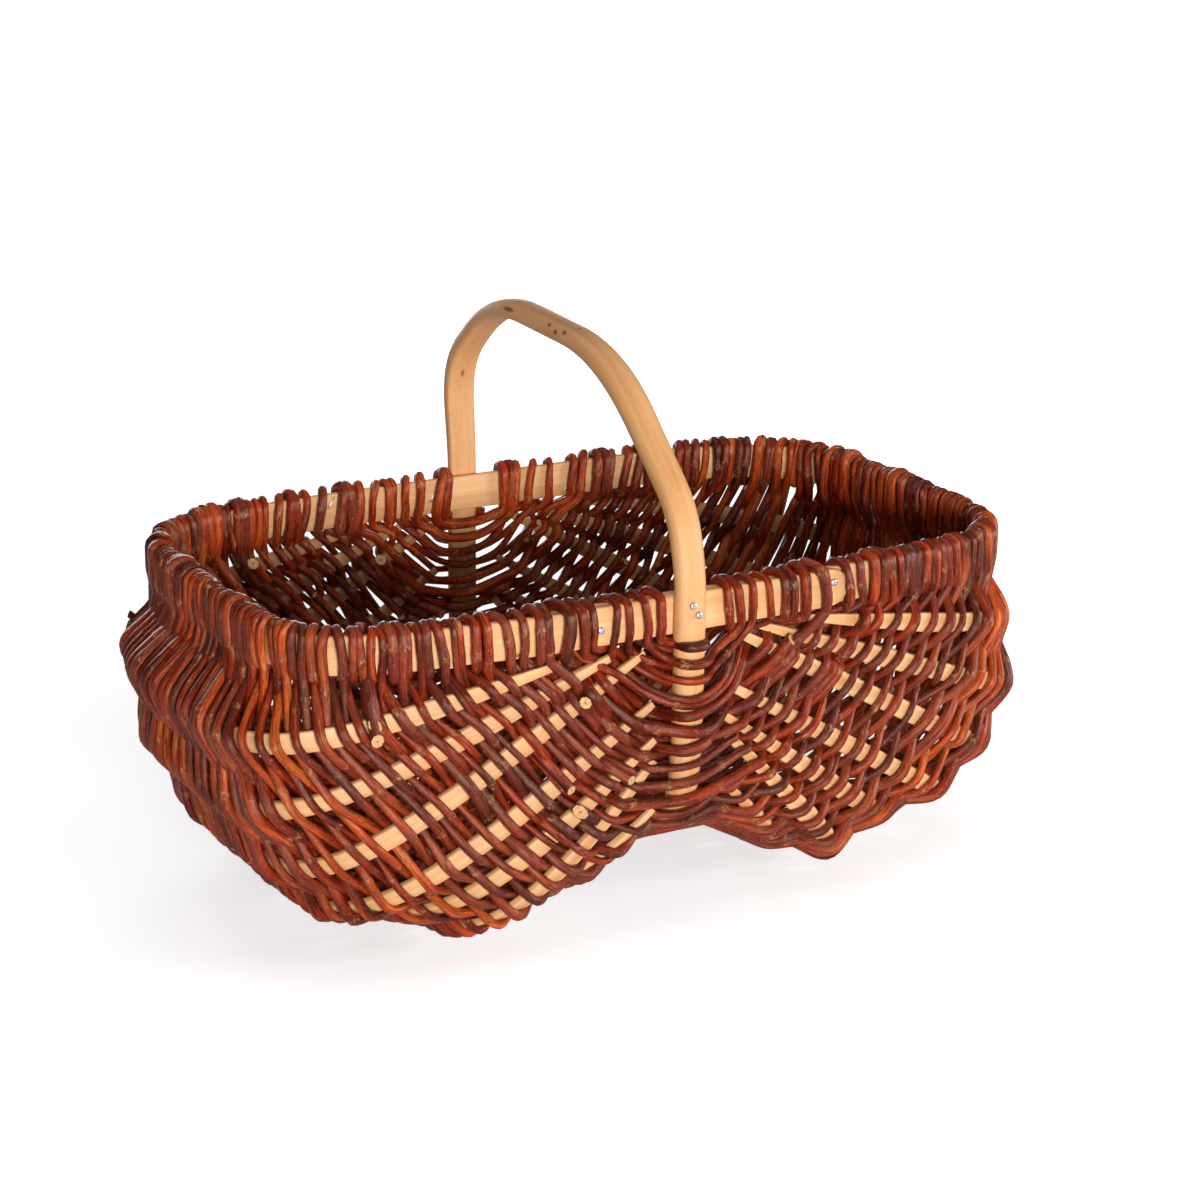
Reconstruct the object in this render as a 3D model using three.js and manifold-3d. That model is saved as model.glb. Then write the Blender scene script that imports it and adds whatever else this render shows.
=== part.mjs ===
// A willow gathering basket: a bent rim and a bent handle hoop cross at two ears, flat split ribs fan out
// between them, and brown willow is woven over the ribs into a body with two lobes under it.
// Millimetres, +Z up, ground at z = 0. X runs along the basket, and -Y is its front.
import * as THREE from 'three';
import { mergeVertices } from 'three/addons/utils/BufferGeometryUtils.js';
import Module from 'manifold-3d';

const wasm = await Module();
wasm.setup();

// Driving dimensions: rim
const RIM_LENGTH = 450;
const RIM_WIDTH = 257;
const RIM_HEIGHT = 186;
const RIM_FRONT_SQUARENESS = 5.6;
const RIM_BACK_SQUARENESS = 4.4;
const RIM_STRIP_WIDTH = 21;
const RIM_STRIP_THICKNESS = 4.5;
const LAP_LEFT = 90;
const LAP_RIGHT = 95;
const LAP_EASE = 50;

// Driving dimensions: handle hoop and keel
const HOOP_WIDTH = 17.5;
const HOOP_THICKNESS = 9;
const HOOP_ASIDE = -6.3;
const HOOP_TURN = THREE.MathUtils.degToRad(1.3);
const KEEL_LIFT = 50.5;
const KEEL_SQUARENESS = 6.5;
const KEEL_EAR_ANGLE = THREE.MathUtils.degToRad(36);

// Driving dimensions: bends of the handle, low knees above its feet and high shoulders under the grip, each
// with its distance across from the middle, its rise over the rim and the length of the bend
const FRONT_KNEE_ACROSS = 132;
const FRONT_KNEE_RISE = 55;
const FRONT_KNEE_BEND = 26;
const FRONT_SHOULDER_ACROSS = 51;
const FRONT_SHOULDER_RISE = 123;
const FRONT_SHOULDER_BEND = 44;
const BACK_SHOULDER_ACROSS = 84;
const BACK_SHOULDER_RISE = 128.5;
const BACK_SHOULDER_BEND = 42;
const BACK_KNEE_ACROSS = 144.5;
const BACK_KNEE_RISE = 79;
const BACK_KNEE_BEND = 32;
const FOOT_BEND = 10;
const BEND_ROOM = 0.48;

// Driving dimensions: ribs. Reach is a share of half the rim's length, ear and drop are shares of the
// body's depth at the handle and at the basket's end, and bulge is a share of how far the lowest rib
// stands out of the rim. Front and back say how square the rib is bent at each of its corners. The right
// side is not quite like the left one, so some ribs have a reach and drop of their own there.
const RIB_WIDTH = 11;
const RIB_THICKNESS = 4.5;
const RIB_TIP_WIDTH = 4;
const RIB_TAPER = 80;
const RIB_BULGE = 6;
const RIB_FAN = [
  { reach: 1.095, ear: 0.009, drop: 0.259, bulge: 0.9, front: 5.4, back: 3.4 },
  { reach: 1.069, ear: 0.0, drop: 0.486, bulge: 0.42, front: 5.2, back: 3.0 },
  { reach: 0.981, ear: 0.016, drop: 0.701, bulge: 0.25, front: 5.0, back: 3.0 },
  { reach: 0.873, ear: 0.188, drop: 0.854, bulge: 0.42, front: 4.8, back: 3.1 },
  { reach: 0.698, ear: 0.279, drop: 0.911, bulge: 0.83, front: 4.4, back: 3.3 },
  { reach: 0.546, ear: 0.301, drop: 1.0, bulge: 0.83, front: 4.1, back: 3.5 },
  { reach: 0.408, ear: 0.465, drop: 0.968, bulge: 1, front: 2.6, back: 3.7 },
];
const RIGHT_RIBS = {
  1: { reach: 1.043 },
  2: { reach: 1.078, drop: 0.515 },
  3: { reach: 1.02, drop: 0.735 },
  4: { reach: 0.886, drop: 0.862 },
};

// Driving dimensions: weave
const WEAVER_DIAMETER = 5;
const WEAVE_WAIST = 6.4;
const WEAVE_LEAST_WIDTH = 4;
const FOOT_CUT = 0.5;
const WRAP_LEFT_FRONT = 143;
const WRAP_RIGHT_FRONT = 103;
const WRAP_BACK = 105;

// Driving dimensions: rods lashed round the hoop below the rim
const EAR_RODS = 6;
const EAR_ROD_FIRST_DROP = 20;
const EAR_ROD_PITCH = 12;

// Driving dimensions: nails and staples, each placed below the rim's upper edge
const NAIL_HEAD_RADIUS = 2;
const NAIL_HEAD_HEIGHT = 1;
const NAIL_SHANK_RADIUS = 0.8;
const FOOT_NAILS = [{ aside: -1.5, below: 3.5 }, { aside: 2, below: 9 }];
const LAP_NAILS = { left: { x: -61, below: 12 }, right: { x: 84, below: 7 } };
const STAPLE_CROWN = 8;
const STAPLE_LEAN = THREE.MathUtils.degToRad(-58);
const STAPLE_LEG = 3.5;
const STAPLE_WIRE = 0.8;
const STAPLES = [{ x: -94, below: 5 }, { x: -27, below: 10 }, { x: 64, below: 15.5 }];

// Clearances and mesh steps
const GAP = 0.3;
const WEAVE_GAP = 0.8;
const TIP_CLEARANCE = 2.5;
const RIB_STEPS = 40;
const CORNER_CROWDING = 0.45;
const ROD_STEPS = 10;
const ROD_SIDES = 6;
const NAIL_SIDES = 10;
const BEND_STEPS = 6;
const RIM_STEP = THREE.MathUtils.degToRad(4.5);

// Derived places
const HALF_LENGTH = RIM_LENGTH / 2;
const HALF_WIDTH = RIM_WIDTH / 2;
const RIM_TOP = RIM_HEIGHT + RIM_STRIP_WIDTH / 2;
const WEAVE_EDGE = RIB_THICKNESS / 2 + WEAVER_DIAMETER + GAP;
const BODY_DEPTH = RIM_HEIGHT - WEAVE_EDGE + FOOT_CUT;
const KEEL_DEPTH = BODY_DEPTH - KEEL_LIFT;
const LAP_STEP = RIM_STRIP_THICKNESS + GAP;
const TURN_ROOM = (HOOP_WIDTH / 2) * Math.tan(HOOP_TURN);
const HOOP_BACK = HALF_WIDTH + RIM_STRIP_THICKNESS / 2 + GAP + TURN_ROOM + HOOP_THICKNESS / 2;
const HOOP_FRONT = HOOP_BACK + LAP_STEP;
const FOOT_RISE = RIM_STRIP_WIDTH / 2 + GAP + FOOT_BEND;
const EAR_ROD_OFFSET = HOOP_WIDTH / 2 + GAP + WEAVER_DIAMETER / 2;
const EAR_ROOM = EAR_ROD_OFFSET + WEAVER_DIAMETER / 2 + TIP_CLEARANCE;
const WRAP_THICKNESS = WEAVER_DIAMETER + GAP;
const EVEN_STEPS = Array.from({ length: RIB_STEPS - 1 }, (_, i) => ((i + 1) * Math.PI) / RIB_STEPS);
const GRID = EVEN_STEPS.map((angle) => angle + (CORNER_CROWDING * Math.sin(4 * angle)) / 4);
const SIDES = { left: -1, right: 1 };

const WOOD = { color: 0xe3bd85, roughness: 0.62, metalness: 0 };
const WILLOW = { color: 0x7c3722, roughness: 0.5, metalness: 0 };
const STEEL = { color: 0xb8bcc2, roughness: 0.35, metalness: 0.9 };

// Point of a unit superellipse at an angle from the ear: across is 1 at the front ear and -1 at the back.
// It may be squarer in front than behind.
function superellipse(angle, front, back = front) {
  const power = Math.cos(angle) > 0 ? front : back;
  const sum = Math.abs(Math.cos(angle)) ** power + Math.abs(Math.sin(angle)) ** power;
  const radius = sum ** (-1 / power);
  return { across: radius * Math.cos(angle), along: radius * Math.sin(angle) };
}

// Solid lofted through like rings of points. The outline is one ring laid flat, for closing the ends.
function loft(rings, outline) {
  const count = rings[0].length;
  const positions = rings.flat().flatMap((point) => [point.x, point.y, point.z]);
  const index = [];
  const spans = outline ? rings.length - 1 : rings.length;
  for (let i = 0; i < spans; i += 1) {
    const next = (i + 1) % rings.length;
    for (let j = 0; j < count; j += 1) {
      const k = (j + 1) % count;
      index.push(i * count + j, i * count + k, next * count + k);
      index.push(i * count + j, next * count + k, next * count + j);
    }
  }
  if (outline) {
    const last = (rings.length - 1) * count;
    const turn = Math.sign(THREE.ShapeUtils.area(outline));
    for (const face of THREE.ShapeUtils.triangulateShape(outline, [])) {
      const [a, b, c] = face;
      const faceTurn = Math.sign(THREE.ShapeUtils.area([outline[a], outline[b], outline[c]]));
      const [p, q] = faceTurn === turn ? [b, c] : [c, b];
      index.push(a, q, p);
      index.push(last + a, last + p, last + q);
    }
  }
  return outward(positions, index);
}

// Indexed geometry with its faces turned outward
function outward(positions, index) {
  const corner = (i) => new THREE.Vector3().fromArray(positions, 3 * i);
  let volume = 0;
  for (let i = 0; i < index.length; i += 3) {
    volume += corner(index[i]).dot(corner(index[i + 1]).cross(corner(index[i + 2])));
  }
  const geometry = new THREE.BufferGeometry();
  geometry.setAttribute('position', new THREE.Float32BufferAttribute(positions, 3));
  geometry.setIndex(volume > 0 ? index : index.reverse());
  return geometry;
}

// Closed geometry as a solid for joining and cutting, and back
function solidOf(geometry) {
  const bare = geometry.clone();
  bare.deleteAttribute('normal');
  bare.deleteAttribute('uv');
  const merged = mergeVertices(bare, 1e-4);
  const vertProperties = new Float32Array(merged.attributes.position.array);
  const triVerts = new Uint32Array(merged.index.array);
  return new wasm.Manifold(new wasm.Mesh({ numProp: 3, vertProperties, triVerts }));
}

function geometryOf(solid) {
  const { vertProperties, triVerts } = solid.getMesh();
  const geometry = new THREE.BufferGeometry();
  geometry.setAttribute('position', new THREE.Float32BufferAttribute(vertProperties, 3));
  geometry.setIndex([...triVerts]);
  return geometry;
}

function cut(geometry, tools) {
  return geometryOf(tools.reduce((solid, tool) => solid.subtract(solidOf(tool)), solidOf(geometry)));
}

function part(name, geometry, finish) {
  geometry.computeVertexNormals();
  const mesh = new THREE.Mesh(geometry, new THREE.MeshStandardMaterial(finish));
  mesh.name = name;
  return mesh;
}

// Rim: one strip that goes once round and laps over its own buried end at the front
function rimFrame(angle) {
  const { across, along } = superellipse(angle, RIM_FRONT_SQUARENESS, RIM_BACK_SQUARENESS);
  const point = new THREE.Vector3(HALF_LENGTH * along, -HALF_WIDTH * across, RIM_HEIGHT);
  const squareness = across > 0 ? RIM_FRONT_SQUARENESS : RIM_BACK_SQUARENESS;
  const slope = (share) => Math.sign(share) * Math.abs(share) ** (squareness - 1);
  const normal = new THREE.Vector3(slope(along) / HALF_LENGTH, -slope(across) / HALF_WIDTH, 0).normalize();
  return { point, normal };
}

function quarterAngle(x, squareness) {
  const along = Math.abs(x) / HALF_LENGTH;
  const across = (1 - along ** squareness) ** (1 / squareness);
  return Math.sign(x) * Math.atan2(along, across);
}

const frontAngle = (x) => quarterAngle(x, RIM_FRONT_SQUARENESS);
const backAngle = (x) => Math.PI - quarterAngle(x, RIM_BACK_SQUARENESS);

// Ring of a strip round the rim at an angle, moved out by a step and padded all round
function rimRing(angle, step, padding) {
  const { point, normal } = rimFrame(angle);
  const halfThickness = RIM_STRIP_THICKNESS / 2 + padding;
  const halfWidth = RIM_STRIP_WIDTH / 2 + padding;
  const corners = [[1, 1], [1, -1], [-1, -1], [-1, 1]];
  return corners.map(([out, up]) => {
    const corner = point.clone().addScaledVector(normal, step + out * halfThickness);
    corner.z += up * halfWidth;
    return corner;
  });
}

const SQUARE = [[1, 1], [1, -1], [-1, -1], [-1, 1]].map(([x, y]) => new THREE.Vector2(x, y));

// Angles from one end to the other that share the rim's own steps, so that layers lie parallel
function rimAngles(from, to) {
  const low = Math.min(from, to) + RIM_STEP / 3;
  const high = Math.max(from, to) - RIM_STEP / 3;
  const between = [];
  for (let i = Math.ceil(low / RIM_STEP); i * RIM_STEP < high; i += 1) {
    between.push(i * RIM_STEP);
  }
  return from < to ? [from, ...between, to] : [from, ...between.reverse(), to];
}

function rimStrip() {
  const lapEnd = frontAngle(-LAP_LEFT);
  const eased = frontAngle(-LAP_LEFT - LAP_EASE);
  const outer = rimAngles(frontAngle(LAP_RIGHT), lapEnd);
  const rest = rimAngles(eased, lapEnd - 2 * Math.PI);
  const rings = outer.map((angle) => rimRing(angle, LAP_STEP, 0));
  rings.push(...rest.map((angle) => rimRing(angle, 0, 0)));
  return loft(rings, SQUARE);
}

// Willow wrapped round the rim at one end of the basket, as a sleeve over the strip
function rimWrap(side) {
  const sign = SIDES[side];
  const front = frontAngle(side === 'left' ? WRAP_LEFT_FRONT : WRAP_RIGHT_FRONT);
  const back = backAngle(WRAP_BACK);
  const angles = rimAngles(front, back).map((angle) => sign * angle);
  const over = RIM_STEP * sign;
  const longer = [angles[0] - over, ...angles, angles[angles.length - 1] + over];
  const sleeve = loft(angles.map((angle) => rimRing(angle, 0, WRAP_THICKNESS)), SQUARE);
  const bore = loft(longer.map((angle) => rimRing(angle, 0, GAP)), SQUARE);
  return cut(sleeve, [bore]);
}

// Hoop: handle above the rim and keel below it, bent in one upright plane that stands a little aside
function hoopAside(across) {
  return HOOP_ASIDE + across * Math.sin(HOOP_TURN);
}

function keelCurve(angle) {
  const { across, along } = superellipse(angle, KEEL_SQUARENESS);
  const halfWidth = across > 0 ? HOOP_FRONT : HOOP_BACK;
  return new THREE.Vector2(-halfWidth * across, RIM_HEIGHT - KEEL_DEPTH * along);
}

function hoopOutline() {
  const corners = [
    { across: -HOOP_FRONT, rise: FOOT_RISE, bend: FOOT_BEND },
    { across: -FRONT_KNEE_ACROSS, rise: FRONT_KNEE_RISE, bend: FRONT_KNEE_BEND },
    { across: -FRONT_SHOULDER_ACROSS, rise: FRONT_SHOULDER_RISE, bend: FRONT_SHOULDER_BEND },
    { across: BACK_SHOULDER_ACROSS, rise: BACK_SHOULDER_RISE, bend: BACK_SHOULDER_BEND },
    { across: BACK_KNEE_ACROSS, rise: BACK_KNEE_RISE, bend: BACK_KNEE_BEND },
    { across: HOOP_BACK, rise: FOOT_RISE, bend: FOOT_BEND },
  ].map(({ across, rise, bend }) => ({ at: new THREE.Vector2(across, RIM_HEIGHT + rise), bend }));
  const feet = [new THREE.Vector2(-HOOP_FRONT, RIM_HEIGHT), new THREE.Vector2(HOOP_BACK, RIM_HEIGHT)];
  const stops = [feet[0], ...corners.map(({ at }) => at), feet[1]];
  const path = new THREE.Path().moveTo(feet[0].x, feet[0].y);
  corners.forEach(({ at, bend }, i) => {
    const [back, onward] = [stops[i], stops[i + 2]].map((stop) => stop.clone().sub(at));
    const room = BEND_ROOM * Math.min(back.length(), onward.length());
    const enter = at.clone().add(back.setLength(Math.min(bend, room)));
    const leave = at.clone().add(onward.setLength(Math.min(bend, room)));
    path.lineTo(enter.x, enter.y);
    path.quadraticCurveTo(at.x, at.y, leave.x, leave.y);
  });
  const handle = path.getPoints(BEND_STEPS);
  const keel = [...GRID].reverse().map(keelCurve);
  const loop = [...handle, ...keel];
  return loop.filter((point, i) => point.distanceTo(loop[(i + 1) % loop.length]) > GAP);
}

// Section of the hoop, flat inside and round outside, as shares of its width and half its thickness
const HOOP_SECTION = [[-0.5, -1], [0.5, -1], [0.5, 0.1], [0.3, 1], [-0.3, 1], [-0.5, 0.1]];

function handleHoop() {
  const loop = hoopOutline();
  const rings = loop.map((at, i) => {
    const before = loop[(i + loop.length - 1) % loop.length];
    const after = loop[(i + 1) % loop.length];
    const incoming = at.clone().sub(before).normalize();
    const outgoing = after.clone().sub(at).normalize();
    const tangent = incoming.clone().add(outgoing).normalize();
    const mitre = 1 / tangent.dot(outgoing);
    return HOOP_SECTION.map(([aside, out]) => {
      const reach = (out * HOOP_THICKNESS * mitre) / 2;
      return new THREE.Vector3(aside * HOOP_WIDTH, at.x - tangent.y * reach, at.y + tangent.x * reach);
    });
  });
  return loft(rings);
}

// Rod bent round the outside of the hoop, with its ends turned in along the hoop's sides
function earRod(sign, drop) {
  const inset = (1 - (drop / KEEL_DEPTH) ** KEEL_SQUARENESS) ** (1 / KEEL_SQUARENESS);
  const hoop = inset * (sign < 0 ? HOOP_FRONT : HOOP_BACK);
  const radius = WEAVER_DIAMETER / 2;
  const outer = sign * (hoop + HOOP_THICKNESS / 2 + GAP + radius);
  const inner = sign * hoop;
  const z = RIM_HEIGHT - drop;
  const bend = WEAVER_DIAMETER;
  const turned = outer - sign * bend;
  const straight = EAR_ROD_OFFSET - bend;
  const at = (x, y) => new THREE.Vector3(x, y, z);
  const corner = (side) => {
    const [aside, face] = [at(side * EAR_ROD_OFFSET, turned), at(side * straight, outer)];
    const ends = side < 0 ? [aside, face] : [face, aside];
    return new THREE.QuadraticBezierCurve3(ends[0], at(side * EAR_ROD_OFFSET, outer), ends[1]);
  };
  const path = new THREE.CurvePath();
  path.add(new THREE.LineCurve3(at(-EAR_ROD_OFFSET, inner), at(-EAR_ROD_OFFSET, turned)));
  path.add(corner(-1));
  path.add(new THREE.LineCurve3(at(-straight, outer), at(straight, outer)));
  path.add(corner(1));
  path.add(new THREE.LineCurve3(at(EAR_ROD_OFFSET, turned), at(EAR_ROD_OFFSET, inner)));
  const section = new THREE.Shape().absarc(0, 0, radius, 0, 2 * Math.PI);
  const options = { steps: ROD_STEPS, curveSegments: ROD_SIDES / 2, extrudePath: path };
  return new THREE.ExtrudeGeometry(section, options);
}

// Ribs: flat strips in sloping planes that fan out from the ears
function ribShape(rib, sign) {
  const own = sign > 0 ? RIGHT_RIBS[rib] : {};
  const { reach, ear, drop, bulge, front, back } = { ...RIB_FAN[rib - 1], ...own };
  return {
    reach: reach * HALF_LENGTH,
    ear: ear * BODY_DEPTH,
    drop: drop * BODY_DEPTH,
    halfWidth: HALF_WIDTH + bulge * RIB_BULGE,
    front,
    back,
  };
}

const KEEL = RIB_FAN.length + 1;

// Point of a line of the frame on one side: 0 is the rim, then the ribs, and last the keel
function framePoint(line, sign, angle) {
  if (line === 0) {
    return rimFrame(sign * angle).point;
  }
  if (line === KEEL) {
    const quarter = Math.PI / 2;
    const share = (quarter - KEEL_EAR_ANGLE) / quarter;
    const { x: across, y: z } = keelCurve(quarter + (angle - quarter) * share);
    return new THREE.Vector3(hoopAside(across), across * Math.cos(HOOP_TURN), z);
  }
  const shape = ribShape(line, sign);
  const { across, along } = superellipse(angle, shape.front, shape.back);
  const z = RIM_HEIGHT - shape.ear - (shape.drop - shape.ear) * along;
  return new THREE.Vector3(sign * shape.reach * along, -shape.halfWidth * across, z);
}

// Axes at a point of the frame: outward normal, and aside, which points at the next line of the frame
function frameAxes(line, sign, angle) {
  const point = framePoint(line, sign, angle);
  if (line === 0) {
    return { point, normal: rimFrame(sign * angle).normal, aside: new THREE.Vector3(0, 0, -1) };
  }
  const nudge = 1e-3;
  const [before, after] = [angle - nudge, angle + nudge].map((near) => framePoint(line, sign, near));
  const tangent = after.sub(before).normalize();
  let onward = new THREE.Vector3(-sign * Math.cos(HOOP_TURN), sign * Math.sin(HOOP_TURN), 0);
  if (line !== KEEL) {
    onward = framePoint(line + 1, sign, angle).sub(framePoint(line - 1, sign, angle));
  }
  const normal = tangent.clone().cross(onward).normalize();
  if (normal.dot(point.clone().setZ(point.z - RIM_HEIGHT)) < 0) {
    normal.negate();
  }
  const aside = normal.clone().cross(tangent);
  if (aside.dot(onward) < 0) {
    aside.negate();
  }
  return { point, normal, aside };
}

// Distance from the handle's plane at which a rib's tip is clear of the rim and of the ear rods
function tipStart(rib, sign) {
  const { reach, ear, drop } = ribShape(rib, sign);
  const clear = RIM_STRIP_WIDTH / 2 + RIB_TIP_WIDTH / 2 + TIP_CLEARANCE;
  return Math.max(EAR_ROOM, (clear - ear) / ((drop - ear) / reach));
}

// Angles at which a rib's tips lie in front and behind, past the hoop where it stands aside and turned
function tipAngles(rib, sign) {
  const shift = (across) => Math.max(0, sign * hoopAside(across));
  const { reach } = ribShape(rib, sign);
  const front = Math.atan((tipStart(rib, sign) + shift(-HOOP_FRONT)) / reach);
  const back = Math.atan((tipStart(rib, sign) + shift(HOOP_BACK)) / reach);
  return [front, Math.PI - back];
}

// Half the width of a line of the frame, with what is wrapped round it
function frameHalfWidth(line, sign, angle) {
  if (line === 0) {
    return RIM_STRIP_WIDTH / 2 + WRAP_THICKNESS;
  }
  if (line === KEEL) {
    return HOOP_WIDTH / 2;
  }
  const { reach, ear, drop, front, back } = ribShape(line, sign);
  const out = Math.hypot(reach, drop - ear) * superellipse(angle, front, back).along;
  const share = THREE.MathUtils.clamp((out - tipStart(line, sign)) / RIB_TAPER, 0, 1);
  return THREE.MathUtils.lerp(RIB_TIP_WIDTH, RIB_WIDTH, share) / 2;
}

// Angles from tip to tip that share the ribs' own steps, so that ribs and weave lie side by side
function ribAngles(front, back) {
  const margin = GRID[0] / 3;
  const between = GRID.filter((angle) => angle > front + margin && angle < back - margin);
  return [front, ...between, back];
}

function rib(line, sign) {
  const [front, back] = tipAngles(line, sign);
  const rings = ribAngles(front, back).map((angle) => {
    const { point, normal, aside } = frameAxes(line, sign, angle);
    const halfWidth = frameHalfWidth(line, sign, angle);
    return SQUARE.map(({ x: over, y: out }) => point.clone()
      .addScaledVector(aside, over * halfWidth)
      .addScaledVector(normal, (out * RIB_THICKNESS) / 2));
  });
  return loft(rings, SQUARE);
}

// Weave between two lines of the frame: thick where rods cross a rib, thin at its waist between ribs
const WAISTED = [[-1, 1], [0, 0.5], [1, 1], [1, -1], [0, -0.5], [-1, -1]]
  .map(([x, y]) => new THREE.Vector2(x, y));

function weaveRing(line, sign, angle) {
  const from = frameAxes(line, sign, angle);
  const to = frameAxes(line + 1, sign, angle);
  const near = from.point.addScaledVector(from.aside, frameHalfWidth(line, sign, angle) + WEAVE_GAP);
  const far = to.point.addScaledVector(to.aside, -frameHalfWidth(line + 1, sign, angle) - WEAVE_GAP);
  const onward = from.aside.clone().add(to.aside).normalize();
  const clearWidth = far.clone().sub(near).dot(onward);
  const waist = near.clone().lerp(far, 0.5);
  const waistNormal = from.normal.clone().add(to.normal).normalize();
  const half = WEAVE_WAIST / 2;
  const ring = [
    near.clone().addScaledVector(from.normal, WEAVE_EDGE),
    waist.clone().addScaledVector(waistNormal, half),
    far.clone().addScaledVector(to.normal, WEAVE_EDGE),
    far.clone().addScaledVector(to.normal, -WEAVE_EDGE),
    waist.clone().addScaledVector(waistNormal, -half),
    near.clone().addScaledVector(from.normal, -WEAVE_EDGE),
  ];
  return { ring, clearWidth };
}

// The weave starts where its two lines have parted enough, and it stands on the ground on a flat cut
function weaveBand(line, sign) {
  const tips = [line, line + 1].filter((i) => i > 0 && i < KEEL).map((i) => tipAngles(i, sign));
  const front = Math.max(...tips.map(([angle]) => angle));
  const back = Math.min(...tips.map(([, angle]) => angle));
  const rings = ribAngles(front, back)
    .map((angle) => weaveRing(line, sign, angle))
    .filter(({ clearWidth }) => clearWidth > WEAVE_LEAST_WIDTH)
    .map(({ ring }) => ring);
  const band = loft(rings, WAISTED);
  band.computeBoundingBox();
  const { min, max } = band.boundingBox;
  if (min.z > 0) {
    return band;
  }
  const size = max.clone().sub(min);
  const ground = new THREE.BoxGeometry(2 * size.x, 2 * size.y, size.z);
  ground.translate((min.x + max.x) / 2, (min.y + max.y) / 2, -size.z / 2);
  return cut(band, [ground]);
}

// Nails: a head and a shank along +Y, which starts at the head's underside at y = 0
function nail(length) {
  const profile = [
    [0, -NAIL_HEAD_HEIGHT],
    [NAIL_HEAD_RADIUS, -NAIL_HEAD_HEIGHT],
    [NAIL_HEAD_RADIUS, 0],
    [NAIL_SHANK_RADIUS, 0],
    [NAIL_SHANK_RADIUS, length - NAIL_SHANK_RADIUS],
    [0, length],
  ].map(([x, y]) => new THREE.Vector2(x, y));
  return new THREE.LatheGeometry(profile, NAIL_SIDES);
}

function nailHole(length) {
  const radius = NAIL_SHANK_RADIUS + GAP;
  return new THREE.CylinderGeometry(radius, radius, 2 * (length + GAP), NAIL_SIDES);
}

// Staples: a wire crown on the rim's inner face with two legs along +Y in the wood
function staple() {
  const half = STAPLE_CROWN / 2;
  const outline = new THREE.Shape()
    .moveTo(-half, -STAPLE_WIRE)
    .lineTo(half, -STAPLE_WIRE)
    .lineTo(half, STAPLE_LEG)
    .lineTo(half - STAPLE_WIRE, STAPLE_LEG)
    .lineTo(half - STAPLE_WIRE, 0)
    .lineTo(STAPLE_WIRE - half, 0)
    .lineTo(STAPLE_WIRE - half, STAPLE_LEG)
    .lineTo(-half, STAPLE_LEG)
    .closePath();
  const wire = new THREE.ExtrudeGeometry(outline, { depth: STAPLE_WIRE, bevelEnabled: false });
  return wire.translate(0, 0, -STAPLE_WIRE / 2);
}

function stapleHoles() {
  const side = STAPLE_WIRE + 2 * GAP;
  const legAt = (STAPLE_CROWN - STAPLE_WIRE) / 2;
  const depth = STAPLE_LEG + GAP;
  return [-legAt, legAt].map((x) => new THREE.BoxGeometry(side, 2 * depth, side).translate(x, 0, 0));
}

// Places of the nails and staples, each with the hole it needs
const turned = new THREE.Matrix4().makeRotationZ(-HOOP_TURN).setPosition(HOOP_ASIDE, 0, 0);
const place = (x, y, below) => new THREE.Matrix4().makeTranslation(x, y, RIM_TOP - below);
const facingFront = new THREE.Matrix4().makeRotationZ(Math.PI);
const nails = [];
FOOT_NAILS.forEach(({ aside, below }, i) => {
  const through = HOOP_THICKNESS + RIM_STRIP_THICKNESS + TURN_ROOM;
  const frontFace = -HOOP_FRONT - HOOP_THICKNESS / 2 - GAP;
  const backFace = HOOP_BACK + HOOP_THICKNESS / 2 + GAP;
  const front = turned.clone().multiply(place(aside, frontFace, below));
  const back = turned.clone().multiply(place(aside, backFace, below)).multiply(facingFront);
  nails.push({ name: `front_foot_nail_${i + 1}`, length: through + LAP_STEP, matrix: front });
  nails.push({ name: `back_foot_nail_${i + 1}`, length: through, matrix: back });
});
Object.entries(LAP_NAILS).forEach(([side, { x, below }]) => {
  const { point, normal } = rimFrame(frontAngle(x));
  const face = point.y - LAP_STEP - RIM_STRIP_THICKNESS / 2 - GAP;
  const lean = new THREE.Matrix4().makeRotationZ(Math.atan2(normal.x, -normal.y));
  const matrix = place(x, face, below).multiply(lean);
  nails.push({ name: `lap_nail_${side}`, length: 2 * RIM_STRIP_THICKNESS, matrix });
});
const nailHoles = nails.map(({ length, matrix }) => nailHole(length).applyMatrix4(matrix));

const leaning = new THREE.Matrix4().makeRotationY(STAPLE_LEAN);
const staples = STAPLES.map(({ x, below }, i) => {
  const { point } = rimFrame(backAngle(x));
  const face = point.y - RIM_STRIP_THICKNESS / 2 - GAP;
  return { name: `rim_staple_${i + 1}`, matrix: place(x, face, below).multiply(leaning) };
});
const stapleCuts = staples.flatMap(({ matrix }) => stapleHoles().map((hole) => hole.applyMatrix4(matrix)));

// The basket
const basket = new THREE.Group();

basket.add(part('rim_hoop', cut(rimStrip(), [...nailHoles, ...stapleCuts]), WOOD));

const hoop = part('handle_hoop', handleHoop().applyMatrix4(turned), WOOD);
hoop.geometry = cut(hoop.geometry, nailHoles);
basket.add(hoop);

for (const [side, sign] of Object.entries(SIDES)) {
  for (let line = 1; line < KEEL; line += 1) {
    basket.add(part(`rib_${side}_${line}`, rib(line, sign), WOOD));
  }
  for (let line = 0; line < KEEL; line += 1) {
    basket.add(part(`weave_${side}_${line + 1}`, weaveBand(line, sign), WILLOW));
  }
  basket.add(part(`rim_wrap_${side}`, rimWrap(side), WILLOW));
}

for (const [end, sign] of [['front', -1], ['back', 1]]) {
  for (let i = 0; i < EAR_RODS; i += 1) {
    const drop = EAR_ROD_FIRST_DROP + i * EAR_ROD_PITCH;
    basket.add(part(`ear_rod_${end}_${i + 1}`, earRod(sign, drop).applyMatrix4(turned), WILLOW));
  }
}

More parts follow.
